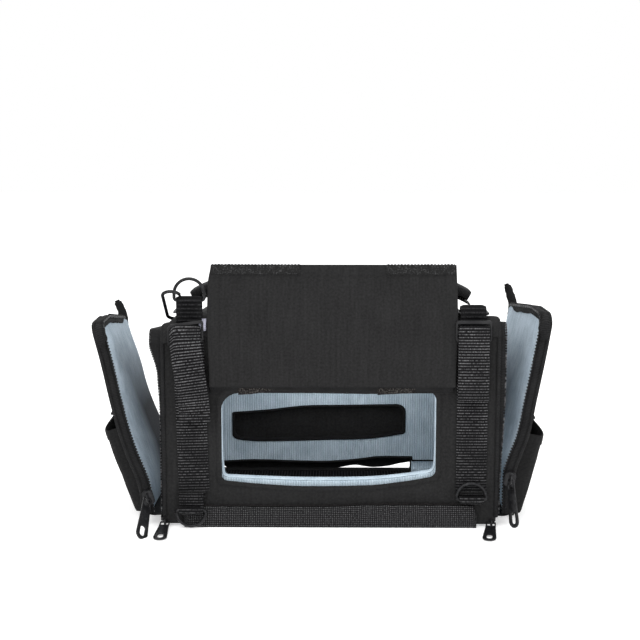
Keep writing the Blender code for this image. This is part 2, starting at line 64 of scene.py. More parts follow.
# Case, from the frame
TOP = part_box("top_panel")[1]
HALF_WIDTH, HALF_DEPTH, HEIGHT = TOP.x, TOP.y, TOP.z
CORNER = 0.012
GAP = 0.0003
FABRIC = 0.0016
FOAM = 0.004
LINER_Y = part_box("rear_liner")[0].y
FLOOR_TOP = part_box("floor_mat")[1].z
FRAME_OUT = {-1: -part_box("left_end_frame")[0].x, 1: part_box("right_end_frame")[1].x}
PANEL_FOOT = 0.0024
SHOULDER = 0.158
FRAME_FOOT = 0.01

# How far the soft case has slumped, and the stretches (start, length) over which that comes on
SLUMP, SLUMP_Y, SLUMP_Z = 0.007, (-0.066, 0.141), (0.09, 0.07)
END_SLUMP, END_SLUMP_X = 0.013, (0.104, 0.022)
CORNER_SLUMP, CORNER_SLUMP_X, CORNER_SLUMP_Z = 0.006, (0.1225, 0.008), (0.12, 0.045)
RIM_SLUMP, RIM_SLUMP_X, RIM_SLUMP_Z = 0.0024, (0.131, 0.007), (0.14, 0.025)

# Window and slots: their sides, knots (x, z) of their lower and upper edges, and corner radii
WINDOW = (
    (-0.0872, 0.0846),
    ((-0.088, 0.0392), (-0.06, 0.0365), (-0.02, 0.0345), (0.03, 0.0352), (0.06, 0.0385), (0.086, 0.043)),
    ((-0.088, 0.109), (-0.055, 0.1112), (0.0, 0.11), (0.04, 0.1098), (0.07, 0.1118), (0.086, 0.1118)),
    (0.004, 0.005, 0.008, 0.013),
)
LINER_WINDOW = (
    (-0.0866, 0.0837),
    ((-0.088, 0.0412), (-0.06, 0.04), (-0.02, 0.0388), (0.03, 0.0394), (0.06, 0.0422), (0.086, 0.0462)),
    ((-0.088, 0.111), (0.086, 0.114)),
    (0.004, 0.005, 0.008, 0.013),
)
UPPER_SLOT = (
    (-0.0885, 0.0668),
    ((-0.089, 0.04), (-0.069, 0.038), (-0.032, 0.0383), (0.001, 0.0394), (0.037, 0.0407), (0.067, 0.045)),
    ((-0.089, 0.0622), (-0.055, 0.0649), (-0.024, 0.0684), (0.015, 0.0691), (0.067, 0.07)),
    (0.006, 0.003, 0.0085, 0.002),
)
LOWER_SLOT = (
    (-0.099, 0.0735),
    ((-0.099, 0.0097), (0.0735, 0.0097)),
    ((-0.099, 0.0168), (-0.069, 0.018), (-0.027, 0.017), (0.001, 0.017), (0.029, 0.0194), (0.043, 0.0212),
     (0.0735, 0.0212)),
    (0.001, 0.001, 0.001, 0.001),
)
BAND_SPLIT = 0.029

# Front cover and the strips that hold it
COVER_AXIS = Vector(JOINTS["front_cover_hinge"]["pos_m"])
COVER_LEFT, COVER_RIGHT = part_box("front_cover")[0].x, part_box("front_cover")[1].x
COVER_WIDTH, COVER_LENGTH = 0.196, 0.0973
COVER_LEAN = math.radians(5.0)
COVER_THICKNESS = 0.0026
SCALLOP_PITCH = 0.00265
REAR_AXIS = Vector(JOINTS["rear_cover_hinge"]["pos_m"])
REAR_HEM = (
    (-0.106, 0.016), (-0.1, 0.012), (-0.093, 0.0076), (-0.08, 0.0068), (-0.011, 0.007), (0.008, 0.0094),
    (0.023, 0.012), (0.031, 0.0107), (0.04, 0.0096), (0.054, 0.011), (0.063, 0.0134), (0.073, 0.015),
    (0.084, 0.0156),
)

# Webbing, rings and the hook
STRAP_WIDTH = 0.0245
WEBBING = 0.0016
RIB_PITCH = 0.0023
STRAP_FRONT = -HALF_DEPTH - GAP - WEBBING / 2
RING_WIRE = 0.0013
RING_HALF_WIDTH = 0.012

# Doors, made shut and then leaned out about their hinge
DOOR_JOINTS = {-1: JOINTS["left_door_hinge"], 1: JOINTS["right_door_hinge"]}
DOOR_LEAN = {side: math.radians(-joint["range_deg"][0]) for side, joint in DOOR_JOINTS.items()}
DOOR_THICKNESS = 0.0085
DOOR_INNER = {side: FRAME_OUT[side] + GAP for side in (-1, 1)}
DOOR_OUTER = {side: DOOR_INNER[side] + DOOR_THICKNESS for side in (-1, 1)}
DOOR_CLOTH_TOP, DOOR_PAD_TOP = 0.1676, 0.1668
POUCH_HALF = 0.05
POUCH_Z = {-1: (0.0085, 0.0835), 1: (0.006, 0.0765)}
POUCH_DEPTH = {-1: (0.012, 0.018), 1: (0.0115, 0.018)}
TOOTH_PITCH = 0.0024

# Sliders and pulls
SLIDER_WIDE, SLIDER_TALL = 0.0088, 0.012
BAIL_REACH = 0.0053
PULL_LENGTH, PULL_WIDTH, PULL_THICKNESS = 0.038, 0.011, 0.0015


OUTLINE_STEPS = (70, 24)
SHARP_ANGLE = math.radians(50)


def side_name(side):
    return "left" if side < 0 else "right"


# ---------------------------------------------------------------- numbers and curves


def clamp(value, low=0.0, high=1.0):
    return max(low, min(high, value))


def mix(a, b, t):
    return a + (b - a) * t


def ease(t):
    t = clamp(t)
    return t * t * (3 - 2 * t)


def onset(value, stretch):
    """From 0 to 1, smoothly, over a stretch given by its start and its length."""
    start, length = stretch
    return ease((value - start) / length)


def ripple(x, y, z, size, seed=0.0):
    """Smooth noise from -1 to 1, its features about that size."""
    return noise.noise(Vector((x / size + 7.3 * seed, y / size - 3.1 * seed, z / size + 1.7 * seed)))


def through(knots, x):
    """The height at x of a smooth curve through knots (x, height)."""
    places = [knot[0] for knot in knots]
    last = len(knots) - 2
    x = clamp(x, places[0], places[-1])
    index = int(clamp(np.searchsorted(places, x) - 1, 0, last))
    left, right = knots[index], knots[index + 1]
    before, after = knots[max(index - 1, 0)], knots[min(index + 2, last + 1)]
    span = right[0] - left[0]
    t = (x - left[0]) / span
    slope_left = span * (right[1] - before[1]) / (right[0] - before[0])
    slope_right = span * (after[1] - left[1]) / (after[0] - left[0])
    cubic = (2 * t ** 3 - 3 * t ** 2 + 1) * left[1] + (3 * t ** 2 - 2 * t ** 3) * right[1]
    return cubic + (t ** 3 - 2 * t ** 2 + t) * slope_left + (t ** 3 - t ** 2) * slope_right


def arc(u, v, radius, start, end, steps):
    """Points on an arc about (u, v), from one angle in degrees to another."""
    angles = [math.radians(mix(start, end, step / steps)) for step in range(steps + 1)]
    return [(u + radius * math.cos(angle), v + radius * math.sin(angle)) for angle in angles]


def rounded(left, bottom, right, top, radii, across=1, up=1, corner=6):
    """A rectangle with its own radius at each corner, from the lower left corner round."""
    arcs = []
    for (u, v, start), radius in zip(
        ((left, bottom, 180), (right, bottom, 270), (right, top, 0), (left, top, 90)), radii
    ):
        inward_u = radius if u == left else -radius
        inward_v = radius if v == bottom else -radius
        arcs.append(arc(u + inward_u, v + inward_v, radius, start, start + 90, corner))
    loop = []
    for index, count in enumerate((across, up, across, up)):
        loop += arcs[index]
        (u0, v0), (u1, v1) = arcs[index][-1], arcs[(index + 1) % 4][0]
        loop += [(mix(u0, u1, step / count), mix(v0, v1, step / count)) for step in range(1, count)]
    return loop


def shaped(opening, grow=0.0):
    """The outline of a window or slot, its lower and upper edges following their knots."""
    (left, right), lower, upper, radii = opening
    left, right = left - grow, right + grow
    middle = (left + right) / 2
    height = through(upper, middle) - through(lower, middle) + 2 * grow
    loop = []
    for u, v in rounded(left, 0, right, height, radii, *OUTLINE_STEPS):
        loop.append((u, mix(through(lower, u) - grow, through(upper, u) + grow, v / height)))
    return loop


def along(points, step, closed=False, smooth=True):
    """Points spaced evenly along a line, or a smooth curve, through the given ones."""
    points = [Vector(point) for point in points]
    count = len(points)
    fine = []
    for index in range(count if closed else count - 1):
        if closed:
            four = [points[(index + shift) % count] for shift in (-1, 0, 1, 2)]
        else:
            four = [points[int(clamp(index + shift, 0, count - 1))] for shift in (-1, 0, 1, 2)]
        for part in range(10):
            t = part / 10
            if smooth:
                bend = (2 * four[0] - 5 * four[1] + 4 * four[2] - four[3]) * t ** 2
                twist = (3 * four[1] - four[0] - 3 * four[2] + four[3]) * t ** 3
                fine.append((2 * four[1] + (four[2] - four[0]) * t + bend + twist) / 2)
            else:
                fine.append(four[1].lerp(four[2], t))
    fine.append(points[0] if closed else points[-1])
    travelled = [0.0]
    for before, after in zip(fine, fine[1:]):
        travelled.append(travelled[-1] + (after - before).length)
    number = max(int(round(travelled[-1] / step)), 2)
    wanted = [travelled[-1] * index / number for index in range(number + (0 if closed else 1))]
    axes = [np.interp(wanted, travelled, [point[axis] for point in fine]) for axis in range(3)]
    return [Vector(place) for place in zip(*axes)]


# ---------------------------------------------------------------- meshes


def add_object(name, mesh):
    """A mesh as an object of the scene."""
    piece = bpy.data.objects.new(name, mesh)
    bpy.context.scene.collection.objects.link(piece)
    return piece


def add_mesh(name, verts, faces, look, uvs=None):
    """A smooth-shaded mesh object with an optional UV map in metres."""
    mesh = bpy.data.meshes.new(name)
    mesh.from_pydata([tuple(vert) for vert in verts], [], faces)
    if uvs is not None:
        corners = np.zeros(len(mesh.loops), np.int32)
        mesh.loops.foreach_get("vertex_index", corners)
        layer = mesh.uv_layers.new(name="cloth")
        layer.data.foreach_set("uv", np.array(uvs, np.float32)[corners].ravel())
    mesh.materials.append(LOOKS[look])
    mesh.shade_smooth()
    mesh.set_sharp_from_angle(angle=SHARP_ANGLE)
    return add_object(name, mesh)


def settle(piece, sharp=SHARP_ANGLE):
    """Apply a piece's modifiers, weld what coincides and mark its sharp edges."""
    mesh = bpy.data.meshes.new_from_object(piece.evaluated_get(bpy.context.evaluated_depsgraph_get()))
    piece.modifiers.clear()
    piece.data = mesh
    bm = bmesh.new()
    bm.from_mesh(mesh)
    bmesh.ops.remove_doubles(bm, verts=bm.verts, dist=1e-6)
    bmesh.ops.dissolve_degenerate(bm, edges=bm.edges, dist=1e-7)
    bm.to_mesh(mesh)
    bm.free()
    mesh.shade_smooth()
    mesh.set_sharp_from_angle(angle=sharp)
    return piece


def round_edges(piece, width, angle):
    """Bevel the edges sharper than an angle."""
    bevel = piece.modifiers.new("rounding", "BEVEL")
    bevel.width = width
    bevel.segments = 2
    bevel.limit_method = "ANGLE"
    bevel.angle_limit = angle


def thicken(piece, thickness, rim=0.0):
    """Give a sheet its thickness behind its face, and round its rim."""
    settle(piece)
    solid = piece.modifiers.new("thickness", "SOLIDIFY")
    solid.thickness = thickness
    solid.offset = -1
    solid.use_even_offset = False
    if rim:
        round_edges(piece, rim, SHARP_ANGLE)
    return settle(piece)


def ring_panel(name, pairs, distances, even, place, look):
    """Cloth between a hole and an outer outline, for each pair of them.

    The first rows lie at the given distances from the hole and the rest are spread evenly.
    """
    verts, faces, uvs = [], [], []
    for hole, outer in pairs:
        count, base = len(hole), len(verts)
        levels = len(distances) + even
        for level in range(levels):
            for (u0, v0), (u1, v1) in zip(hole, outer):
                span = math.hypot(u1 - u0, v1 - v0)
                squeeze = min(1.0, 0.5 * span / distances[-1])
                away = distances[min(level, len(distances) - 1)] * squeeze
                if level >= len(distances):
                    away = mix(away, span, (level - len(distances) + 1) / even)
                u, v = mix(u0, u1, away / span), mix(v0, v1, away / span)
                verts.append(place(u, v, away))
                uvs.append((u, v))
        for level in range(levels - 1):
            inner, further = base + level * count, base + (level + 1) * count
            for i in range(count):
                j = (i + 1) % count
                faces.append((further + i, further + j, inner + j, inner + i))
    return add_mesh(name, verts, faces, look, uvs)


def grid(name, rows, look, wrap=False, caps=False):
    """A mesh through rows of points, with UVs from the lengths of the middle row and column."""
    height, width = len(rows), len(rows[0])
    middle_row, middle = rows[height // 2], width // 2
    us, vs = [0.0], [0.0]
    for before, after in zip(middle_row, middle_row[1:]):
        us.append(us[-1] + (Vector(after) - Vector(before)).length)
    for before, after in zip(rows, rows[1:]):
        vs.append(vs[-1] + (Vector(after[middle]) - Vector(before[middle])).length)
    verts = [point for row in rows for point in row]
    uvs = [(us[j], vs[i]) for i in range(height) for j in range(width)]
    faces = []
    for i in range(height - 1):
        for j in range(width if wrap else width - 1):
            right = (j + 1) % width
            faces.append((i * width + j, i * width + right, (i + 1) * width + right, (i + 1) * width + j))
    if caps:
        faces.append(tuple(range(width))[::-1])
        faces.append(tuple((height - 1) * width + j for j in range(width)))
    return add_mesh(name, verts, faces, look, uvs)


def rows_of(point, across, up):
    """Rows of points: one row for each value of up, with one point for each value of across."""
    return [[point(x, y) for x in across] for y in up]


def heading(line, index):
    """The direction of an open line at one of its points."""
    last = len(line) - 1
    return (line[min(index + 1, last)] - line[max(index - 1, 0)]).normalized()


def square_to(vector, ahead):
    """The part of a vector at right angles to a direction, at unit length."""
    return (vector - ahead * vector.dot(ahead)).normalized()


def strap(name, path, width, look, rib, pitch=RIB_PITCH):
    """Webbing along a path, its width along X, with ribs woven across it."""
    line = along(path, pitch / 4, smooth=False)
    rows = []
    for index, point in enumerate(line):
        ahead = heading(line, index)
        across = square_to(Vector((1, 0, 0)), ahead)
        out = across.cross(ahead)
        swell = WEBBING / 2 + rib * math.cos(math.pi * index / 2)
        upper, lower = [], []
        for t in np.linspace(-1, 1, 9):
            reach = swell * math.sqrt(max(1 - abs(t) ** 7, 0.02))
            here = point + across * (t * width / 2)
            upper.append(here + out * reach)
            lower.append(here - out * reach)
        rows.append(upper + lower[::-1])
    return grid(name, rows, look, wrap=True, caps=True)


def tube(name, line, radius, look, closed=False, sides=10, flat=1.0):
    """A round, or flattened, tube along evenly spaced points."""
    count = len(line)
    normal = Vector((0, 0, 1))
    rows = []
    for index, point in enumerate(line):
        if closed:
            ahead = (line[(index + 1) % count] - line[index - 1]).normalized()
        else:
            ahead = heading(line, index)
        if index == 0 and abs(ahead.z) > 0.8:
            normal = Vector((0, -1, 0))
        normal = square_to(normal, ahead)
        across = ahead.cross(normal)
        size = radius(index / (count - 1)) if callable(radius) else radius
        row = []
        for side in range(sides):
            angle = 2 * math.pi * side / sides
            row.append(point + size * (math.cos(angle) * across + flat * math.sin(angle) * normal))
        rows.append(row)
    if closed:
        rows.append(rows[0])
    piece = grid(name, rows, look, wrap=True, caps=not closed)
    return settle(piece) if closed else piece


def plate(name, outline, holes, thickness, matrix, look, bevel):
    """A flat plate in its own XZ plane with rounded edges, put in place by a matrix."""
    bm = bmesh.new()
    edges = []
    for loop in (outline, *holes):
        verts = [bm.verts.new((u, -thickness / 2, v)) for u, v in loop]
        edges += [bm.edges.new((verts[i - 1], verts[i])) for i in range(len(verts))]
    bmesh.ops.triangle_fill(bm, use_beauty=True, use_dissolve=False, edges=edges)
    grown = bmesh.ops.extrude_face_region(bm, geom=bm.faces[:], use_keep_orig=True)
    moved = [item for item in grown["geom"] if isinstance(item, bmesh.types.BMVert)]
    bmesh.ops.translate(bm, verts=moved, vec=(0, thickness, 0))
    bmesh.ops.recalc_face_normals(bm, faces=bm.faces)
    bm.transform(matrix)
    mesh = bpy.data.meshes.new(name)
    bm.to_mesh(mesh)
    bm.free()
    mesh.materials.append(LOOKS[look])
    piece = add_object(name, mesh)
    if bevel:
        round_edges(piece, bevel, math.radians(40))
    return settle(piece, math.radians(35))


def joined(name, pieces):
    """Several pieces as one mesh object."""
    bm = bmesh.new()
    for piece in pieces:
        bm.from_mesh(piece.data)
    mesh = bpy.data.meshes.new(name)
    bm.to_mesh(mesh)
    bm.free()
    mesh.materials.append(pieces[0].data.materials[0])
    for piece in pieces:
        bpy.data.objects.remove(piece, do_unlink=True)
    return add_object(name, mesh)


def beads(name, line, size, look, turn=(0, -1, 0)):
    """Small rounded blocks along a line: stitches and zip teeth. The size is along, across, out."""
    verts, faces = [], []
    for index, point in enumerate(line):
        ahead = heading(line, index)
        out = square_to(Vector(turn), ahead)
        across = ahead.cross(out)
        base = len(verts)
        for end in (-0.5, -0.3, 0.3, 0.5):
            thin = 0.45 if abs(end) > 0.4 else 1.0
            for side in range(6):
                angle = math.pi * side / 3
                offset = across * (math.cos(angle) * size[1] / 2) + out * (math.sin(angle) * size[2] / 2)
                verts.append(point + ahead * (end * size[0]) + offset * thin)
        for ring in range(3):
            for side in range(6):
                a, b = base + ring * 6 + side, base + ring * 6 + (side + 1) % 6
                faces.append((a, b, b + 6, a + 6))
        faces.append(tuple(base + side for side in range(6))[::-1])
        faces.append(tuple(base + 18 + side for side in range(6)))
    return add_mesh(name, verts, faces, look)


def slump(piece):
    """Let the top of the soft case down towards the back, more so at its ends and at the left corner."""
    for vert in piece.data.vertices:
        x, y, z = vert.co
        back = clamp((y - SLUMP_Y[0]) / SLUMP_Y[1])
        droop = (SLUMP + END_SLUMP * onset(abs(x), END_SLUMP_X)) * back * onset(z, SLUMP_Z)
        corner = CORNER_SLUMP * onset(-x, CORNER_SLUMP_X) * onset(z, CORNER_SLUMP_Z)
        rim = RIM_SLUMP * onset(abs(x), RIM_SLUMP_X) * onset(z, RIM_SLUMP_Z)
        vert.co.z -= droop + corner * (1 - 0.6 * back) + rim


def place_on(piece, body, slot, *nodes):
    """A finished piece: the body it rides on, its material slot, which is not used, and the CAD nodes it
    stands for.

    What belongs to the case slumps with it, apart from the stiff anchors of the handle.
    """
    if body == "case" and "anchor" not in piece.name:
        slump(piece)
    if nodes:
        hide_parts(*nodes)
    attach(piece, body)


# ---------------------------------------------------------------- materials


class Signal:
    """A node's output, which can be added to, subtracted from and multiplied by others or numbers."""

    def __init__(self, look, socket):
        self.look, self.socket = look, socket

    def __add__(self, other):
        return self.look.maths("ADD", self, other)

    def __sub__(self, other):
        return self.look.maths("SUBTRACT", self, other)

    def __mul__(self, other):
        return self.look.maths("MULTIPLY", self, other)

    def spread(self, low, high):
        """The value spread over 0 to 1, held at both ends."""
        inputs = {"Value": self, "From Min": low, "From Max": high}
        return self.look.add("MapRange", "Result", inputs, clamp=True)


class Look:
    """A Principled material with short ways to add nodes to it."""

    def __init__(self, name, roughness, specular, **sockets):
        self.material = bpy.data.materials.new(name)
        self.material.use_nodes = True
        self.tree = self.material.node_tree
        self.shader = self.tree.nodes["Principled BSDF"]
        sockets.update({"Roughness": roughness, "Specular IOR Level": specular})
        for key, value in sockets.items():
            self.shader.inputs[key].default_value = value

    def feed(self, socket, value):
        """Link a node's output to a socket, or set the socket to a number or colour."""
        if isinstance(value, Signal):
            self.tree.links.new(value.socket, socket)
        else:
            socket.default_value = value

    def add(self, kind, output, inputs, **settings):
        """A new node's output, after its settings are made and its inputs are fed."""
        node = self.tree.nodes.new("ShaderNode" + kind)
        for key, value in settings.items():
            setattr(node, key, value)
        for key, value in inputs.items():
            self.feed(node.inputs[key], value)
        return Signal(self, node.outputs[output])

    def where(self, source="UV", scale=(1, 1, 1)):
        """The UV map or the object's own place, both in metres."""
        place = self.add("TexCoord", source, {})
        return self.add("VectorMath", "Vector", {0: place, 1: scale}, operation="MULTIPLY")

    def axis(self, vector, name):
        return self.add("SeparateXYZ", name, {"Vector": vector})

    def maths(self, operation, first, second=0.0):
        return self.add("Math", "Value", {0: first, 1: second}, operation=operation)

    def grain(self, vector, size, detail=2.0):
        """Noise from 0 to 1 with features about that size."""
        return self.add("TexNoise", "Fac", {"Vector": vector, "Scale": 1 / size, "Detail": detail})

    def wave(self, value, pitch):
        """A sine from -1 to 1 along a coordinate."""
        return self.maths("SINE", value * (2 * math.pi / pitch))

    def blend(self, factor, dark, light):
        """A colour between two others, which are colours or outputs."""
        dark, light = ((*colour, 1.0) if isinstance(colour, tuple) else colour for colour in (dark, light))
        return self.add("Mix", 2, {0: factor, 6: dark, 7: light}, data_type="RGBA")

    def paint(self, colour, height=None, depth=0.0, roughness=None):
        """Link the colour, the bump and the roughness, and give the material."""
        self.feed(self.shader.inputs["Base Color"], colour)
        if height is not None:
            bump = self.add("Bump", "Normal", {"Height": height, "Distance": depth})
            self.feed(self.shader.inputs["Normal"], bump)
        if roughness is not None:
            self.feed(self.shader.inputs["Roughness"], roughness)
        return self.material


def cloth_look(name, dark, light, pitch, streak):
    """A plain weave: crossing threads, slubs, soft streaks along the warp and a little dust."""
    look = Look(name, 0.85, 0.06, **{"Sheen Weight": 0.01})
    uv = look.where()
    weave = look.wave(look.axis(uv, "X"), pitch) * look.wave(look.axis(uv, "Y"), pitch)
    threads = look.grain(uv, pitch * 1.7, 3.0)
    streaks = look.grain(look.where(scale=(1, 0.06, 1)), 0.0022)
    mixed = weave * 0.22 + threads + streaks * streak + look.grain(uv, 0.035) * 0.35
    colour = look.blend(mixed.spread(0.35 + streak / 2, 1.05 + streak / 2), dark, light)
    return look.paint(colour, weave + threads * 1.4, 0.00012, threads.spread(-1.2, 1.1))


def felt_look(name, dark, light, painted_shade_level=1.0):
    """Brushed felt with fine ribs, loose fibres and faint soiling; below a shade level of 1, painted shade
    darkens it towards the back and the foot.
    """
    look = Look(name, 0.95, 0.05, **{"Sheen Weight": 0.03})
    uv = look.where()
    ribs = look.wave(look.axis(uv, "X"), 0.0021)
    fibres = look.grain(uv, 0.0009, 3.0)
    nap = look.grain(look.where(scale=(1, 0.35, 1)), 0.004, 3.0)
    mixed = ribs * 0.13 + fibres * 0.85 + nap * 0.55 + look.grain(uv, 0.02) * 0.55
    colour = look.blend(mixed.spread(0.55, 1.45), dark, light)
    # Painted shade: towards the rear and the foot of the door the colour turns to a dark grey, standing in
    # for the shadow there. The front and the top keep the lit colour.
    if painted_shade_level < 1.0:
        place = look.where("Object")
        front = look.axis(place, "Y").spread(0.012, -0.052)
        high = look.axis(place, "Z").spread(0.078, 0.16)
        painted_shade_colour = tuple(value * painted_shade_level for value in (0.36, 0.38, 0.42))
        colour = look.blend(look.maths("MAXIMUM", front, high), painted_shade_colour, colour)
    return look.paint(colour, ribs + fibres * 2.0, 0.00022)


def webbing_look(name, crest_glint, pitch):
    """Ribbed webbing: painted highlights on the thread tips of the rib crests, dark in between, and painted
    shade that dims those highlights low down.
    """
    look = Look(name, 0.5, 0.06)
    uv = look.where()
    ribs = look.wave(look.axis(uv, "Y") + pitch / 4, pitch)
    tips = look.grain(look.where(scale=(1, 0.45, 1)), 0.0011, 1.0)
    worn = look.grain(uv, 0.018).spread(0.1, 0.75)
    # Painted shade: the highlights fade towards the bottom of the bag.
    high = look.axis(look.where("Object"), "Z").spread(-0.06, 0.13)
    # Painted highlight: the crest colour on the rib tips stands in for light glinting off the threads.
    painted_glint = ribs.spread(0.05, 1.0) * tips.spread(0.3, 0.66) * worn * high
    threads = look.wave(look.axis(uv, "X"), 0.0012)
    return look.paint(look.blend(painted_glint, (0.004, 0.004, 0.0045), crest_glint), threads * 0.5 + tips * 1.5, 0.0002)


def mesh_look():
    """A glossy diagonal mesh: painted highlights on the thread crossings over dark gaps."""
    look = Look("woven_mesh", 0.4, 0.1)
    uv = look.where()
    u, v = look.axis(uv, "X"), look.axis(uv, "Y")
    crossings = look.wave(u + v, 0.003) * look.wave(u - v, 0.003)
    speckle = look.grain(uv, 0.0014)
    crossing_highlights = crossings.spread(0.05, 0.9) * speckle.spread(0.25, 0.7)
    # Painted highlight: the light grey on the crossings stands in for the gloss of the threads.
    colour = look.blend(crossing_highlights, (0.003, 0.003, 0.0035), (0.15, 0.15, 0.153))
    return look.paint(colour, crossings + speckle, 0.0003)


def tape_look(name, dark, light):
    """Fine ribbed zip tape."""
    look = Look(name, 0.75, 0.06, **{"Sheen Weight": 0.01})
    uv = look.where()
    ribs = look.wave(look.axis(uv, "Y"), 0.0013)
    fibres = look.grain(uv, 0.0012, 3.0)
    mixed = ribs * 0.15 + fibres * 0.8 + look.grain(uv, 0.014) * 0.6
    return look.paint(look.blend(mixed.spread(0.4, 1.1), dark, light), ribs + fibres, 0.00015)


def mat_look():
    """A thin mat hatched with ribs from front to back."""
    look = Look("hatched_mat", 0.6, 0.05)
    uv = look.where()
    ribs = look.wave(look.axis(uv, "X"), 0.0026)
    mixed = ribs * 0.5 + look.grain(uv, 0.0015)
    colour = look.blend(mixed.spread(0.3, 1.2), (0.004, 0.004, 0.005), (0.034, 0.034, 0.036))
    return look.paint(colour, ribs, 0.00035)


def pile_look(name, dark, light):
    """Loop or hook pile: dark, with light flecks where threads catch the light."""
    look = Look(name, 0.7, 0.05, **{"Sheen Weight": 0.01})
    uv = look.where()
    loops = look.grain(uv, 0.0011)
    flecks = loops.spread(0.48, 0.72) * look.grain(uv, 0.0045).spread(0.35, 0.65)
    return look.paint(look.blend(flecks, dark, light), loops, 0.0005)


def metal_look():
    """Black enamel, thin and greyer where it has rubbed."""
    look = Look("black_enamel", 0.24, 0.3, Metallic=0.4)
    place = look.where("Object")
    fine = look.grain(place, 0.0009)
    worn = (look.grain(place, 0.003, 3.0) + fine * 0.3).spread(0.62, 0.85)
    colour = look.blend(worn, (0.009, 0.009, 0.01), (0.024, 0.024, 0.026))
    return look.paint(colour, fine, 0.00003, fine.spread(-0.4, 2.2))


def plastic_look():
    """Moulded nylon with a fine grain."""
    look = Look("black_nylon", 0.42, 0.1)
    place = look.where("Object")
    grain = look.grain(place, 0.0007)
    patches = look.grain(place, 0.012).spread(0.3, 0.7)
    colour = look.blend(patches, (0.012, 0.012, 0.013), (0.026, 0.026, 0.027))
    return look.paint(colour, grain, 0.00005, grain.spread(-0.6, 1.8))


def coil_look():
    """Nylon zip coil with painted highlights on its crowns."""
    look = Look("zip_coil", 0.35, 0.1)
    # Painted highlight: light grey patches on the coil's crowns.
    crown_highlights = look.grain(look.where("Object"), 0.0021, 1.0).spread(0.45, 0.75)
    return look.paint(look.blend(crown_highlights, (0.006, 0.006, 0.0065), (0.15, 0.15, 0.155)))


def board_look():
    """Grey fibre board."""
    look = Look("fibre_board", 0.7, 0.5)
    fibres = look.grain(look.where("Object"), 0.0015, 4.0)
    colour = look.blend(fibres.spread(0.3, 0.7), (0.045, 0.043, 0.04), (0.085, 0.082, 0.076))
    return look.paint(colour, fibres, 0.0001)


def floor_look():
    """A matt white floor, lit from within so that only contact shadow shows on it."""
    white = (1, 1, 1, 1)
    glow = {"Base Color": (0.8, 0.8, 0.8, 1), "Emission Color": white, "Emission Strength": 0.45}
    return Look("white_floor", 0.9, 0.0, **glow).material


LOOKS = {
    "cordura": cloth_look("black_cordura", (0.009, 0.009, 0.0093), (0.026, 0.0258, 0.0262), 0.0012, 0.3),
    "cover": cloth_look("cover_cloth", (0.01, 0.01, 0.0102), (0.0245, 0.0243, 0.0247), 0.0011, 0.5),
    "felt": felt_look("blue_felt", (0.27, 0.35, 0.42), (0.66, 0.77, 0.85)),
    # The door felt carries painted shade towards its rear and its foot.
    "door_felt": felt_look("door_felt", (0.22, 0.28, 0.34), (0.64, 0.74, 0.82), 0.12),
    "lavender": felt_look("lavender_felt", (0.23, 0.23, 0.3), (0.5, 0.5, 0.58)),
    # Painted highlight: the crest colour of each webbing.
    "webbing": webbing_look("ribbed_webbing", (0.23, 0.23, 0.235), RIB_PITCH),
    "tab": webbing_look("pleated_webbing", (0.035, 0.035, 0.037), 0.0032),
    "mesh": mesh_look(),
    "tape": tape_look("zip_tape", (0.006, 0.006, 0.0065), (0.02, 0.02, 0.0205)),
    "binding": tape_look("edge_binding", (0.007, 0.007, 0.0075), (0.024, 0.024, 0.0245)),
    "mat": mat_look(),
    "loop": pile_look("loop_pile", (0.01, 0.009, 0.009), (0.16, 0.15, 0.14)),
    "hook": pile_look("hook_pile", (0.012, 0.012, 0.012), (0.07, 0.07, 0.072)),
    "metal": metal_look(),
    "plastic": plastic_look(),
    "coil": coil_look(),
    "board": board_look(),
    "floor": floor_look(),
}


# ---------------------------------------------------------------- case


def front_depth(u, v):
    """How far the front cloth stands out: it sags round the window and stays flat under the straps."""
    free = 1 - ease((abs(u) - 0.08) / 0.017)
    foot = ease((v - 0.019) / 0.012)
    belly = 0.0016 * math.exp(-(((v - 0.03) / 0.012) ** 2)) + 0.0007
    folds = 0.0006 * ripple(u, v, 0, 0.03, 1) + 0.00025 * ripple(u, v, 0, 0.009, 2)
    return free * foot * max(belly + folds, 0) + 0.00012 * ripple(u, v, 0, 0.02, 3)


def foam_roll(t):
    """The radius of the foam's bright lower edge, thinning towards its ends."""
    return 0.0004 + 0.0012 * ease(min(t, 1 - t) / 0.1)


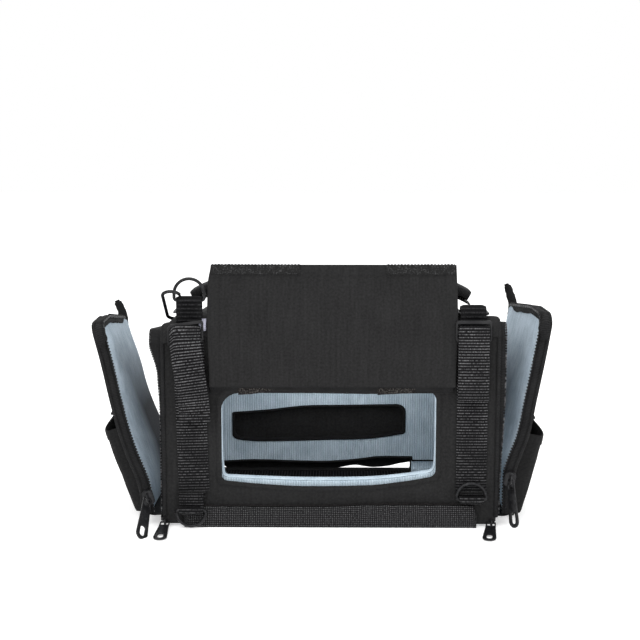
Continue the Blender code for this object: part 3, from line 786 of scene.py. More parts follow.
def make_front():
    """The front cloth with its window hem, and the foam liner whose rim shows inside the window."""
    outer = rounded(-HALF_WIDTH, PANEL_FOOT, HALF_WIDTH, SHOULDER, (0,) * 4, *OUTLINE_STEPS)

    def on_front(u, v, away):
        hem = 0.0006 * (1 - ease((away - 0.005) / 0.0012)) * ease(away / 0.0006 + 0.4)
        return (u, -HALF_DEPTH - front_depth(u, v) - hem, v)

    steps = (0.0, 0.0004, 0.0012, 0.003, 0.0048, 0.0055, 0.0063, 0.008)
    front = ring_panel("front_cloth", [(shaped(WINDOW), outer)], steps, 22, on_front, "cordura")
    thicken(front, FABRIC, 0.0004)
    place_on(front, "case", "black_cordura", "front_panel")

    seam = [Vector(on_front(u, v, 0.0042)) + Vector((0, -0.0002, 0)) for u, v in shaped(WINDOW, 0.0042)]
    line = along(seam, 0.0033, closed=True)
    place_on(beads("window_hem_stitches", line, (0.0024, 0.0006, 0.0005), "binding"), "case", "black_cordura")

    lining = rounded(-HALF_WIDTH + 0.0004, 0.0095, HALF_WIDTH - 0.0004, 0.1595, (0,) * 4, *OUTLINE_STEPS)

    def on_lining(u, v, away):
        return (u, -HALF_DEPTH + FABRIC + 2 * GAP + 0.0012 * math.exp(-away / 0.002), v)

    hole = shaped(LINER_WINDOW)
    liner = ring_panel("front_foam", [(hole, lining)], (0.0, 0.0006, 0.002, 0.0045), 10, on_lining, "felt")
    thicken(liner, FOAM - 0.0012, 0.0012)
    place_on(liner, "case", "blue_felt", "front_liner")
    rim = [Vector((u, -HALF_DEPTH + 0.0038 + 0.0004 * ripple(u, v, 0, 0.012, 4), v)) for u, v in hole]
    low_edge = [point for point in rim[-18:] + rim[:100] if point.z < 0.062]
    roll = tube("window_foam_rim", along(low_edge, 0.002), foam_roll, "felt")
    place_on(roll, "case", "blue_felt")


def make_back():
    """The back cloth and its foam liner, each with two slots, and the binding round the slots."""
    for name, node, look, slot, inset, low, high, y, sag, thickness, rim in (
        ("rear_cloth", "rear_panel", "cordura", "black_cordura", 0.0, PANEL_FOOT, SHOULDER,
         HALF_DEPTH - FABRIC, 0.0, FABRIC, 0.0003),
        ("rear_foam", "rear_liner", "felt", "blue_felt", 0.0004, 0.0075, 0.1595,
         LINER_Y, 0.0007, FOAM, 0.0011),
    ):
        left, right = -HALF_WIDTH + inset, HALF_WIDTH - inset
        lower = rounded(left, low, right, BAND_SPLIT, (0,) * 4, *OUTLINE_STEPS)
        upper = rounded(left, BAND_SPLIT, right, high, (0,) * 4, *OUTLINE_STEPS)
        pairs = [(shaped(LOWER_SLOT), lower), (shaped(UPPER_SLOT), upper)]

        def on_back(u, v, away):
            return (u, y - sag * ripple(u, v, 0, 0.03, 5), v)

        wall = ring_panel(name, pairs, (0.0, 0.0006, 0.0016, 0.004), 10, on_back, look)
        thicken(wall, thickness, rim)
        place_on(wall, "case", slot, node)
    front = LINER_Y - 0.0006
    for name, opening in (("upper_slot_binding", UPPER_SLOT), ("lower_slot_binding", LOWER_SLOT)):
        turn = (
            (0.0016, front + 0.0004), (0.0012, front - 0.0006), (0.0002, front - 0.001),
            (-0.0006, front - 0.0003), (-0.0008, front + 0.002), (-0.0007, HALF_DEPTH - 0.0004),
            (0.001, HALF_DEPTH + 0.0004),
        )
        rows = [[(u, y, v) for u, v in shaped(opening, grow)] for grow, y in turn]
        binding = grid(name, rows, "binding", wrap=True)
        place_on(thicken(binding, 0.0004), "case", "black_cordura")


def make_top():
    """The top cloth, drawn over the front and rear corners, and its foam ceiling."""
    profile = [(-HALF_DEPTH, SHOULDER - 0.002)]
    profile += arc(-HALF_DEPTH + CORNER, HEIGHT - CORNER, CORNER, 180, 90, 10)
    profile += [(y, HEIGHT) for y in np.linspace(-0.05, 0.05, 21)]
    profile += arc(HALF_DEPTH - CORNER, HEIGHT - CORNER, CORNER, 90, 0, 10) + [(HALF_DEPTH, SHOULDER - 0.002)]
    rows = []
    for y, z in profile:
        crown = math.cos(math.pi * y / (2 * HALF_DEPTH + 0.02))
        row = []
        for x in np.linspace(HALF_WIDTH, -HALF_WIDTH, 90):
            sag = 0.001 * crown * (ripple(x, y, z, 0.04, 6) - 0.5)
            row.append((x, y, z + sag))
        rows.append(row)
    top = thicken(grid("top_cloth", rows, "cordura"), FABRIC, 0.0003)
    place_on(top, "case", "black_cordura", "top_panel")

    def on_ceiling(x, y):
        return (x, y, 0.1645 - 0.0006 * ripple(x, y, 0, 0.03, 7))

    rows = rows_of(on_ceiling, np.linspace(-0.132, 0.132, 60), np.linspace(-0.063, 0.063, 30))
    foam = thicken(grid("top_foam", rows, "felt"), -0.003, 0.0008)
    place_on(foam, "case", "blue_felt", "top_liner")


def make_floor():
    """Floor lining, hatched mat, and the flap of lining that covers the mat's right end."""
    for name, look, slot, half, z, thick, node in (
        ("floor_foam", "felt", "blue_felt", 0.125, 0.0072, 0.0014, "floor_liner"),
        ("hatched_mat", "mat", "zip_tape", 0.128, FLOOR_TOP, 0.0014, "floor_mat"),
    ):

        def on_floor(x, y):
            return (x, y, z - 0.0002 * ripple(x, y, 0, 0.02, 8))

        rows = rows_of(on_floor, np.linspace(-half, half, 70), np.linspace(-0.0684, 0.0684, 40))
        piece = thicken(grid(name, rows, look), thick, 0.0004)
        place_on(piece, "case", slot, node)
    path = [(-0.064, FLOOR_TOP + 0.0014), (0.02, FLOOR_TOP + 0.0016), (0.06, FLOOR_TOP + 0.0018)]
    path += arc(0.063, FLOOR_TOP + 0.0058, 0.004, -80, 0, 6) + [(0.0672, 0.0165), (0.0668, 0.0188)]
    rows = []
    for y, z in path:
        rows.append([(x, y, z + 0.0003 * ripple(x, y, z, 0.015, 9)) for x in np.linspace(0.0738, 0.128, 30)])
    flap = thicken(grid("floor_side_flap", rows, "felt"), 0.0012, 0.0004)
    place_on(flap, "case", "blue_felt")
    places = np.linspace(0.0742, 0.1275, 30)
    line = [Vector((x, 0.0664, 0.0192 + 0.0004 * ripple(x, 0, 0, 0.01, 70))) for x in places]
    place_on(tube("side_flap_edge", line, 0.0007, "binding"), "case", "black_cordura")


def make_boot():
    """The woven boot that wraps the base, its front edge frayed, and the board inside it."""
    low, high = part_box("base_boot")
    half = high.x
    rows = []
    count = 150
    for step in range(count + 1):
        x = mix(-half, half, step / count)
        end = ease((half - abs(x)) / 0.003)
        rim = 0.01 + 0.0074 * end + 0.0016 * ease((x + 0.01) / 0.05) * end
        rim += 0.0005 * ripple(x, 0, 0, 0.006, 10) + 0.0005 * ripple(x, 0, 0, 0.03, 11)
        profile = [(low.y, mix(rim, 0.002, t)) for t in np.linspace(0, 1, 9)]
        profile += arc(low.y + 0.002, 0.002, 0.002, 180, 270, 4)
        profile += [(mix(low.y + 0.004, high.y - 0.004, t), 0.0) for t in np.linspace(0, 1, 12)]
        profile += arc(high.y - 0.002, 0.002, 0.002, 270, 360, 4) + [(high.y, 0.005), (high.y, high.z * 0.35)]
        rows.append([(x, y, z) for y, z in profile])
    boot = grid("woven_boot", rows, "mesh")
    thicken(boot, -0.0015, 0.0003)
    place_on(boot, "case", "woven_boot", "base_boot")
    fringe = []
    for x in np.linspace(-half + 0.014, half - 0.008, 190):
        lift = 0.0174 + 0.0016 * ease((x + 0.01) / 0.05) + 0.0006 * ripple(x, 0, 0, 0.003, 12)
        fringe.append(Vector((x, low.y - 0.0002, lift)))
    threads = beads("boot_edge_threads", fringe, (0.0007, 0.0022, 0.0007), "loop")
    place_on(threads, "case", "woven_boot")
    board = frame["nodes"]["base_board"].data.materials
    board.clear()
    board.append(LOOKS["board"])


def end_path(inset, foot, step=0.0025):
    """Points (y, z) up the front edge of an end, over its top and down its rear edge."""
    half, top, radius = HALF_DEPTH - inset, HEIGHT - inset, CORNER - inset
    path = [(-half, foot)] + arc(-half + radius, top - radius, radius, 180, 90, 8)
    path += arc(half - radius, top - radius, radius, 90, 0, 8) + [(half, foot)]
    return [(point.x, point.y) for point in along([(y, z, 0) for y, z in path], step, smooth=False)]


def end_reach(side, z):
    """How far out the zip tape of an end stands at a height: it flares towards the top."""
    if side < 0:
        return 0.1362 + 0.0014 * ease((z - 0.095) / 0.03) + 0.0062 * ease((z - 0.122) / 0.036)
    return 0.136 + 0.0034 * ease((z - 0.02) / 0.1)


def make_end(side):
    """Piping, flared zip tape and half a coil chain round an end of the case."""
    name = side_name(side)
    line = [Vector((side * 0.1338, y, z)) for y, z in end_path(-0.0002, 0.0085)]
    piping = tube(name + "_end_piping", line, 0.0017, "binding", flat=0.9)
    place_on(piping, "case", "black_cordura")
    rows = []
    for y, z in end_path(0.001, FRAME_FOOT):
        reach = end_reach(side, z)
        high = ease((z - 0.12) / 0.04)
        row = []
        for t in np.linspace(0, 1, 8):
            crumple = t * (0.001 + 0.0012 * high) * ripple(y, z, t * 0.02, 0.012, 13 + side)
            fold = 1 - 0.6 * crumple / HALF_DEPTH
            x = mix(HALF_WIDTH + 0.0008, reach, t) + crumple * 0.5
            row.append((side * x, y * fold - 0.3 * crumple, z - abs(crumple) * 0.6))
        rows.append(row if side > 0 else row[::-1])
    tape = thicken(grid(name + "_end_tape", rows, "tape"), 0.001, 0.0002)
    place_on(tape, "case", "zip_tape", name + "_end_frame")
    path = end_path(0.0018, 0.012, TOOTH_PITCH)
    coil = [Vector((side * (end_reach(side, z) + 0.0004), y, z)) for y, z in path]
    teeth = beads(name + "_end_coil", coil, (0.0021, 0.0022, 0.0016), "coil", (side, 0, 0))
    place_on(teeth, "case", "zip_tape")


# ---------------------------------------------------------------- covers


COVER_LIFT = Matrix.Translation(COVER_AXIS) @ Matrix.Rotation(-COVER_LEAN, 4, "X")


def on_cover(s, t, out=0.0):
    """A point of the cover, s across from 0 to 1 and t up from the hinge to the free edge."""
    left = COVER_LEFT + 0.0006 - 0.0016 * math.sin(math.pi * clamp(t * 1.15 - 0.15))
    left += 0.0016 * ease((t - 0.85) / 0.15)
    right = COVER_RIGHT + 0.0015 * math.sin(math.pi * clamp(t * 1.1 - 0.1)) + 0.0004
    x = mix(left, right, s)
    bow = 0.0022 * math.sin(math.pi * s) * math.sin(math.pi * t)
    bow += 0.0007 * ripple(x, t * 0.09, 0, 0.05, 15)
    hem = 0.0003 * (1 - ease((min(s, 1 - s) * COVER_WIDTH - 0.009) / 0.001))
    hem += 0.0003 * ease((t * COVER_LENGTH - 0.0885) / 0.001)
    ridge = 0.00018 * ripple(x, t * 0.1, 1, 0.012, 16)
    return COVER_LIFT @ Vector((x, -COVER_THICKNESS / 2 - bow - hem - ridge - out, t * COVER_LENGTH))


def make_front_cover():
    """The folded-up window cover and its stitches, then its pile strips and its sewn hinge."""
    rows = rows_of(on_cover, np.linspace(0, 1, 110), np.linspace(0, 1, 56))
    cover = thicken(grid("window_cover", rows, "cover"), COVER_THICKNESS, 0.0007)
    place_on(cover, "front_cover_flap", "cover_cloth", "front_cover")
    for name, run in (
        ("cover_left_stitches", [(0.046, t) for t in np.linspace(0.02, 0.9, 20)]),
        ("cover_right_stitches", [(0.954, t) for t in np.linspace(0.02, 0.9, 20)]),
        ("cover_top_stitches", [(s, 0.902) for s in np.linspace(0.05, 0.95, 40)]),
    ):
        line = along([on_cover(s, t, 0.0001) for s, t in run], 0.0034)
        threads = beads(name, line, (0.0024, 0.0005, 0.0004), "cover")
        place_on(threads, "front_cover_flap", "cover_cloth")
    for side in (-1, 1):
        make_hook_strip(side)
        make_window_tab(side)
    make_cover_hinge()


def make_hook_strip(side):
    """One of the two scalloped hook strips along the free edge of the cover."""
    name = side_name(side) + "_cover_hook_strip"
    low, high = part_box(name)
    first = (low.x - COVER_LEFT) / (COVER_RIGHT - COVER_LEFT)
    final = min((high.x - COVER_LEFT) / (COVER_RIGHT - COVER_LEFT), 0.995)

    def on_strip(s, t):
        scallop = 0.0009 * t ** 3 * abs(math.sin(math.pi * s * COVER_WIDTH / SCALLOP_PITCH))
        out = 0.0008 + 0.0003 * ripple(s * 0.2, t * 0.007, 0, 0.0018, 17)
        point = on_cover(s, mix(0.921, 0.996, t), out)
        return point + COVER_LIFT.to_3x3() @ Vector((0, 0, scallop))

    rows = rows_of(on_strip, np.linspace(max(first, 0.005), final, 150), np.linspace(0, 1, 14))
    strip = thicken(grid(side_name(side) + "_scalloped_hook", rows, "hook"), 0.0012, 0.0003)
    place_on(strip, "front_cover_flap", "loop_pile", name)


def make_window_tab(side):
    """A tab of loop pile at the upper edge of the window, thinning to the right."""
    low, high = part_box(side_name(side) + "_window_tab")

    def on_tab(s, t):
        thin = 1 - (0.7 * s ** 2 if side < 0 else 0.2 * s)
        z = mix(high.z - 0.0095 * thin - 0.001, high.z - 0.0012, t)
        z += 0.0004 * ripple(s * 0.03, t, 0, 0.006, 18)
        swell = 0.001 * math.sin(math.pi * t) * thin
        swell += 0.0003 * ripple(s * 0.03, t * 0.01, 1, 0.0016, 19)
        return (mix(low.x, high.x, s), low.y - swell, z)

    rows = rows_of(on_tab, np.linspace(0, 1, 60), np.linspace(0, 1, 12))
    tab = thicken(grid(side_name(side) + "_loop_tab", rows, "loop"), 0.0015, 0.0004)
    place_on(tab, "case", "loop_pile", side_name(side) + "_window_tab")


def make_cover_hinge():
    """The sewn hinge between the case and the cover."""
    foot, top = COVER_AXIS.z - 0.0058, COVER_AXIS.z + 0.004

    def on_hinge(s, t):
        x, z = mix(COVER_LEFT + 0.001, COVER_RIGHT - 0.001, s), mix(foot, top, t)
        y = mix(-HALF_DEPTH - 0.001, COVER_AXIS.y + 0.0006, ease(t * 1.1))
        return (x, y - 0.0002 * ripple(x, z, 0, 0.02, 20), z)

    rows = rows_of(on_hinge, np.linspace(0, 1, 80), np.linspace(0, 1, 16))
    hinge = thicken(grid("cover_hinge_seam", rows, "binding"), 0.0009, 0.0002)
    start, end = (0, COVER_AXIS.y, foot + 0.002), (0, COVER_AXIS.y, top)
    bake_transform(hinge)
    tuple(start)
    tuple(end)


def make_rear_cover():
    """The cloth hung over the rear slots, its hem waving and rising to one side."""
    low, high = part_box("rear_cover")

    def on_hanging(x, t):
        z = mix(through(REAR_HEM, x), high.z, t)
        loose = (1 - t) ** 1.5
        wave = 0.0011 * loose * math.sin(x / 0.012 + 0.8) + 0.0012 * loose * ripple(x, z, 0, 0.03, 21)
        crease = 0.0005 * math.exp(-(((z - 0.049) / 0.0012) ** 2))
        crease += 0.0004 * math.exp(-(((z - 0.044) / 0.001) ** 2))
        return (x, REAR_AXIS.y - 0.0007 + abs(wave) - crease, z)

    rows = rows_of(on_hanging, np.linspace(low.x, high.x, 90), np.linspace(0, 1, 40))
    cover = thicken(grid("slot_cover", rows, "cordura"), 0.0012, 0.0002)
    place_on(cover, "rear_cover_flap", "black_cordura", "rear_cover")
    places = np.linspace(low.x + 0.004, high.x - 0.004, 20)
    line = along([(x, REAR_AXIS.y + 0.0006, high.z - 0.004) for x in places], 0.0034)
    threads = beads("slot_cover_stitches", line, (0.0024, 0.0005, 0.0006), "binding", (0, 1, 0))
    place_on(threads, "rear_cover_flap", "black_cordura")
    line = [Vector((x, REAR_AXIS.y - 0.0011, high.z + 0.0012)) for x in np.linspace(low.x, high.x, 60)]
    welt = tube("slot_cover_welt", line, 0.0014, "binding", flat=0.8)
    place_on(welt, "rear_cover_flap", "black_cordura")


# ---------------------------------------------------------------- straps, rings, hook


def strap_centre(name):
    """The middle of the straps of a side."""
    low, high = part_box(name + "_front_strap")
    return (low.x + high.x) / 2


def make_front_webbing(side):
    """The front strap: up the case, round the slide's bar and down again as a free tail."""
    name = side_name(side)
    centre = strap_centre(name)
    turn_z, turn_radius = 0.1616, 0.0031
    lean = 0.0016 if side < 0 else 0.0
    back, turn_y = STRAP_FRONT, STRAP_FRONT - turn_radius
    tail_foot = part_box(name + "_three_bar_slide")[0].z - (0.0645 if side < 0 else 0.0465)
    path = [(centre + lean, back, 0.03), (centre, back, 0.09), (centre - lean, back, 0.15)]
    top_x = centre - 2.2 * lean
    path += [(top_x, y, z) for y, z in arc(turn_y, turn_z, turn_radius, 0, 180, 10)]
    drift = 0.0072 if side < 0 else 0.0
    stand = 0.003 if side < 0 else 0.0008
    for t in np.linspace(0.12, 1, 10):
        z = mix(turn_z, tail_foot, t)
        y = turn_y - turn_radius - 0.0006 - stand * t ** 2 * (0.6 + 0.4 * math.sin(5 * t))
        path.append((top_x + drift * ease(t), y, z))
    front = strap(name + "_front_webbing", path, STRAP_WIDTH, "webbing", rib=0.00032)
    place_on(front, "case", "black_webbing", name + "_front_strap")


def make_rear_webbing(side):
    """The rear strap and the bar tacks across its ends."""
    name = side_name(side)
    centre = strap_centre(name)
    low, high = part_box(name + "_rear_strap")
    path = [(centre, high.y - WEBBING / 2, low.z), (centre, high.y - WEBBING / 2, high.z)]
    rear = strap(name + "_rear_webbing", path, STRAP_WIDTH, "webbing", rib=0.0003)
    place_on(rear, "case", "black_webbing", name + "_rear_strap")
    for number, z in enumerate((low.z + 0.01, high.z - 0.01)):
        line = along([(centre - 0.01, high.y + 0.0003, z), (centre + 0.01, high.y + 0.0003, z)], 0.003)
        size = (0.0022, 0.0008, 0.0008)
        threads = beads(f"{name}_rear_bar_tack_{number}", line, size, "binding", (0, 1, 0))
        place_on(threads, "case", "black_webbing")


def make_slide(side):
    """The three-bar slide that holds the front strap."""
    name = side_name(side)
    low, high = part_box(name + "_three_bar_slide")
    outline = rounded(low.x, low.z, high.x, high.z, (0.0022,) * 4)
    half = (high.x - low.x) / 2 - 0.0015
    middle = (low.x + high.x) / 2
    holes = [
        rounded(middle - half, bottom, middle + half, top, (0.0008,) * 4, corner=3)
        for bottom, top in ((0.1549, 0.1585), (0.1612, 0.1668))
    ]
    matrix = Matrix.Translation((-0.0028 if side < 0 else 0.0, (low.y + high.y) / 2, 0))
    slide = plate(name + "_slide", outline, holes, high.y - low.y, matrix, "plastic", 0.0005)
    place_on(slide, "case", "black_plastic", name + "_three_bar_slide")


def make_ring_tab(side):
    """The pleated tab that holds the upper ring."""
    name = side_name(side)
    axis = Vector(JOINTS[name + "_upper_ring_hinge"]["pos_m"])
    radius = axis.y - STRAP_FRONT
    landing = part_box(name + "_ring_tab")[1].y
    path = [(axis.x, STRAP_FRONT - 0.0002, 0.1655)]
    path += [(axis.x, y, z) for y, z in arc(axis.y, axis.z, radius, 180, 0, 10)]
    path += [(axis.x, landing - WEBBING / 2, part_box(name + "_ring_tab")[0].z + 0.004)]
    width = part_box(name + "_ring_tab")[1].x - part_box(name + "_ring_tab")[0].x
    tab = strap(name + "_pleated_tab", path, width, "tab", rib=0.00055, pitch=0.0032)
    place_on(tab, "case", "black_webbing", name + "_ring_tab")


def make_ring_loop(side):
    """The loop that holds the lower ring, and the welts across its upper end."""
    name = side_name(side)
    low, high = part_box(name + "_lower_loop")
    axis = Vector(JOINTS[name + "_lower_ring_hinge"]["pos_m"])
    path = [(axis.x, high.y - WEBBING / 2, high.z)]
    path += [(axis.x, y, z) for y, z in arc(axis.y, axis.z, 0.0027, 0, -180, 10)]
    path += [(axis.x, low.y + WEBBING / 2, axis.z + 0.0032)]
    loop = strap(name + "_ring_loop", path, high.x - low.x, "webbing", rib=0.00022)
    place_on(loop, "case", "black_webbing", name + "_lower_loop")
    for number, z in enumerate((high.z + 0.0008, high.z - 0.003)):
        places = np.linspace(axis.x - 0.0118, axis.x + 0.0118, 24)
        line = [Vector((x, STRAP_FRONT - 0.0013, z)) for x in places]
        bar = tube(f"{name}_loop_welt_{number}", line, 0.001, "binding", flat=0.8)
        place_on(bar, "case", "black_webbing")


def ring_line(place, height, turn):
    """The centreline of a D-ring, its straight bar on the axis, turned back about it from upright."""
    corner = 0.0022
    outline = arc(-RING_HALF_WIDTH + corner, corner, corner, 180, 270, 4)
    outline += arc(RING_HALF_WIDTH - corner, corner, corner, 270, 360, 4)
    outline += arc(0, height - RING_HALF_WIDTH, RING_HALF_WIDTH, 0, 180, 24)
    x, y, z = place
    line = [(x + u, y + v * math.sin(turn), z + v * math.cos(turn)) for u, v in outline]
    return along(line, 0.0011, closed=True, smooth=False)


def make_rings(side):
    """The upper and the lower D-ring of a side, each at its own angle."""
    name = side_name(side)
    for part, height, turn in (
        ("_upper_ring", 0.0172, 0.0 if side < 0 else math.pi / 2),
        ("_lower_ring", 0.013, math.pi if side < 0 else math.radians(8)),
    ):
        place = JOINTS[name + part + "_hinge"]["pos_m"]
        line = ring_line(place, height, turn)
        ring = tube(name + part + "_wire", line, RING_WIRE, "metal", closed=True, sides=14)
        place_on(ring, name + part + "_body", "black_metal", name + part)


def make_hook():
    """The snap hook that hangs from the left ring, and its sprung gate."""
    slope = math.radians(36)
    ahead = Vector((0, math.cos(slope), -math.sin(slope)))
    start = Vector((-0.1262, -0.077, 0.1912))

    def place(u, v):
        return start + Vector((u, 0, 0)) + ahead * v

    def gate_radius(t):
        return 0.0009 + 0.0003 * abs(math.sin(22 * t))

    outline = arc(0, 0.0055, 0.007, -20, -180, 22) + arc(-0.0008, 0.0382, 0.006, 180, 0, 18)
    outline.append((0.0052, 0.03))
    line = along([place(u, v) for u, v in outline], 0.0011, smooth=False)
    hook = tube("snap_hook_wire", line, RING_WIRE * 1.05, "metal", sides=14)
    place_on(hook, "hook", "black_metal", "snap_hook")
    line = along([place(0.0053, 0.0283), place(0.0068, 0.0052)], 0.001, smooth=False)
    gate = tube("snap_hook_gate_wire", line, gate_radius, "metal", sides=12)
    place_on(gate, "hook_gate", "black_metal", "snap_hook_gate")


def make_handle():
    """The padded grip, the webbing under it and the sewn anchors at both ends."""
    low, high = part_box("handle_webbing")
    centre_y = (low.y + high.y) / 2
    half = -low.x
    foot = low.z

    def arch(x):
        return foot + 0.0009 + 0.0183 * (1 - abs(x / half) ** 3.5)

    line = [(x, centre_y, arch(x)) for x in np.linspace(-half, half, 60)]
    webbing = handle_band("handle_strap", along(line, RIB_PITCH / 3), 0.012, 0.0018, "webbing", 2)
    place_on(webbing, "handle", "black_webbing", "handle_webbing")
    half = 0.0026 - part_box("handle_grip")[0].x
    line = [(x, centre_y, arch(x) + 0.0066) for x in np.linspace(-half, half, 60)]
    grip = handle_band("padded_grip", along(line, 0.002), 0.0138, 0.0084, "binding", 4)
    place_on(grip, "handle", "black_webbing", "handle_grip")
    for facing in (-1, 1):
        y = centre_y + facing * 0.0125
        line = along([(x, y, arch(x) + 0.0098) for x in np.linspace(-half + 0.006, half - 0.006, 40)], 0.0033)
        side = "front" if facing < 0 else "rear"
        threads = beads(f"grip_{side}_stitches", line, (0.0023, 0.0006, 0.0006), "cover", (0, facing, 1))
        place_on(threads, "handle", "black_webbing")
    for side in (-1, 1):
        name = side_name(side) + "_handle_anchor"
        low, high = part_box(name)
        inner, outer = (high.x, low.x) if side < 0 else (low.x, high.x)
        line = [(outer, centre_y, low.z + 0.001), (mix(outer, inner, 0.55), centre_y, low.z + 0.0012)]
        line.append((mix(outer, inner, 0.8), centre_y, mix(low.z, high.z, 0.45)))
        line.append((inner, centre_y, high.z - 0.001))
        anchor = handle_band(side_name(side) + "_anchor_webbing", along(line, RIB_PITCH / 3), 0.012, 0.0018,
                             "webbing", 2)
        place_on(anchor, "case", "black_webbing", name)


def handle_band(name, line, half_width, thickness, look, power):
    """A band along X with its width along Y and a rounded section."""
    rows = []
    last = len(line) - 1
    for index, point in enumerate(line):
        ahead = heading(line, index)
        out = Vector((-ahead.z, 0, ahead.x))
        if out.z < 0:
            out = -out
        end = 0.9 if index in (0, last) else 1.0
        row = []
        for step in range(20):
            angle = 2 * math.pi * step / 20
            c, s = math.cos(angle), math.sin(angle)
            wide = math.copysign(abs(c) ** (2 / (power + 2)), c)
            tall = math.copysign(abs(s) ** (2 / (power + 1)), s)
            row.append(point + Vector((0, half_width * wide * end, 0)) + out * (thickness / 2 * tall * end))
        rows.append(row)
    return grid(name, rows, look, wrap=True, caps=True)


def make_pad():
    """The pale pad between the left strap and the cover."""

    def on_pad(x, z):
        swell = 0.003 * math.sin(math.pi * (z - 0.16) / 0.01) * ease((x + 0.1055) / 0.002)
        return (x, -HALF_DEPTH - 0.001 - swell + 0.3 * max(z - 0.164, 0), z)

    rows = rows_of(on_pad, np.linspace(-0.1055, -0.0986, 10), np.linspace(0.16, 0.17, 10))
    pad = thicken(grid("cover_rest_pad", rows, "lavender"), 0.0015, 0.0004)
    place_on(pad, "case", "blue_felt")


# ---------------------------------------------------------------- doors


DOOR_LOW = DOOR_JOINTS[1]["pos_m"][2] + GAP
PAD_HALF = HALF_DEPTH - 0.003
# How each door stands: its twist at the front and the rear, its rise and its slump. Its foot is
# zipped to the case up to one height and swings wholly with the door above another
DOOR_TWIST = {-1: (-0.0024, 0.0024), 1: (0.0004, -0.0056)}
DOOR_RISE = {-1: 0.0035, 1: 0.0085}
DOOR_SLUMP = {-1: 0.015, 1: 0.012}
DOOR_SLUMP_Y, DOOR_SLUMP_Z = (-0.03, 0.105), (0.1, 0.06)
ZIPPED_TO = {-1: 0.02, 1: 0.046}
# Knots (z, how far out the door stands) of each door's curve
DOOR_PROFILE = {
    -1: ((0.01, 0.0), (0.025, 0.0018), (0.039, 0.005), (0.063, 0.0147), (0.087, 0.0228), (0.1075, 0.028),
         (0.14, 0.035), (0.17, 0.0425)),
    1: ((0.01, 0.0), (0.04, 0.0002), (0.048, 0.0012), (0.0606, 0.0052), (0.078, 0.011), (0.1075, 0.0164),
        (0.143, 0.023), (0.17, 0.0275)),
}
# How the pull tags hang, on the doors and under the corners
PULL_DROP = {-1: math.radians(50), 1: math.radians(14)}
PULL_SPLAY = math.radians(4)
PULL_YAW = {-1: math.radians(40), 1: math.radians(-55)}
CORNER_PULL_DROP = math.radians(-86)
CORNER_PULL_YAW = {-1: 0.0, 1: math.radians(-9)}


def door_matrix(side):
    """From the shut door to the door as it stands, leaned out about its hinge."""
    axis = Vector(DOOR_JOINTS[side]["pos_m"])
    lean = Matrix.Rotation(side * DOOR_LEAN[side], 4, "Y")
    return Matrix.Translation(axis) @ lean @ Matrix.Translation(-axis)


def door_bend(side, z):
    """How far the cloth door lies beyond the flat one: its foot is still zipped and it curves above."""
    return through(DOOR_PROFILE[side], z) - max(z - DOOR_LOW, 0) * math.tan(DOOR_LEAN[side])


def on_door(side, x, y, z, bent=1.0):
    """A point of the shut door where it stands: bent, stretched to its top and twisted from front to rear."""
    z += DOOR_RISE[side] * clamp((z - 0.08) / 0.086)
    front, rear = DOOR_TWIST[side]
    twist = mix(front, rear, (y / HALF_DEPTH + 1) / 2) * clamp((z - ZIPPED_TO[side]) / 0.08)
    return door_matrix(side) @ Vector((side * (x + twist + bent * door_bend(side, z)), y, z))


def bend_on(piece, side, slot, *nodes):
    """A soft piece of a door: it slumps towards the back and the top, its CAD nodes are hidden and its place
    is baked into its mesh.
    """
    for vert in piece.data.vertices:
        back = clamp((vert.co.y - DOOR_SLUMP_Y[0]) / DOOR_SLUMP_Y[1])
        vert.co.z -= DOOR_SLUMP[side] * back * onset(vert.co.z, DOOR_SLUMP_Z)
    if nodes:
        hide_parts(*nodes)
    side_name(side) + "_door"
    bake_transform(piece)


def door_rows(side, facing, half, top, depth):
    """Rows over the face of a door that faces out (1) or in (-1), rounded at its upper corners."""
    rows = []
    radius = 0.01
    for t in np.linspace(0, 1, 64):
        z = mix(DOOR_LOW + 0.001, top, t)
        drop = max(z - (top - radius), 0)
        reach = half - radius + math.sqrt(max(radius ** 2 - drop ** 2, 0))
        row = [on_door(side, depth(s * reach, z), s * reach, z) for s in np.linspace(-1, 1, 46)]
        rows.append(row if side * facing > 0 else row[::-1])
    return rows


def puff(piece, pinned, cap):
    """Swell a closed pad by cloth pressure, its edges and back held, and keep it within the cap."""
    before = [vert.co.copy() for vert in piece.data.vertices]
    group = piece.vertex_groups.new(name="held")
    group.add([i for i, co in enumerate(before) if pinned(co)], 1.0, "REPLACE")
    cloth = piece.modifiers.new("cloth", "CLOTH")
    cloth.settings.vertex_group_mass = "held"
    cloth.settings.use_pressure = True
    cloth.settings.uniform_pressure_force = 4.0
    cloth.settings.effector_weights.gravity = 0.0
    cloth.settings.mass = 0.2
    cloth.settings.tension_stiffness = 12
    cloth.settings.compression_stiffness = 12
    cloth.point_cache.frame_start = 1
    cloth.point_cache.frame_end = 20
    scene = bpy.context.scene
    for number in range(1, 21):
        scene.frame_set(number)
    swollen = bpy.data.meshes.new_from_object(piece.evaluated_get(bpy.context.evaluated_depsgraph_get()))
    piece.modifiers.clear()
    for vert, start, end in zip(piece.data.vertices, before, swollen.vertices):
        move = end.co - start
        if move.length > cap:
            move = move.normalized() * cap
        vert.co = start + move
    bpy.data.meshes.remove(swollen)
    scene.frame_set(1)
    return settle(piece)


def make_door_shell(side):
    """The outer cloth of a door."""
    name = side_name(side)
    outer = DOOR_OUTER[side]

    def shell_depth(y, z):
        slack = (1 - (y / HALF_DEPTH) ** 4) * ease((0.168 - z) / 0.02)
        return outer - 0.0008 + 0.0012 * slack * ripple(y, z, 0, 0.045, 30 + side) - 0.0006 * slack

    shell = grid(name + "_door_cloth", door_rows(side, 1, PAD_HALF, DOOR_CLOTH_TOP, shell_depth), "cordura")
    thicken(shell, FABRIC, 0.0003)
    bend_on(shell, side, "black_cordura", name + "_door_shell")


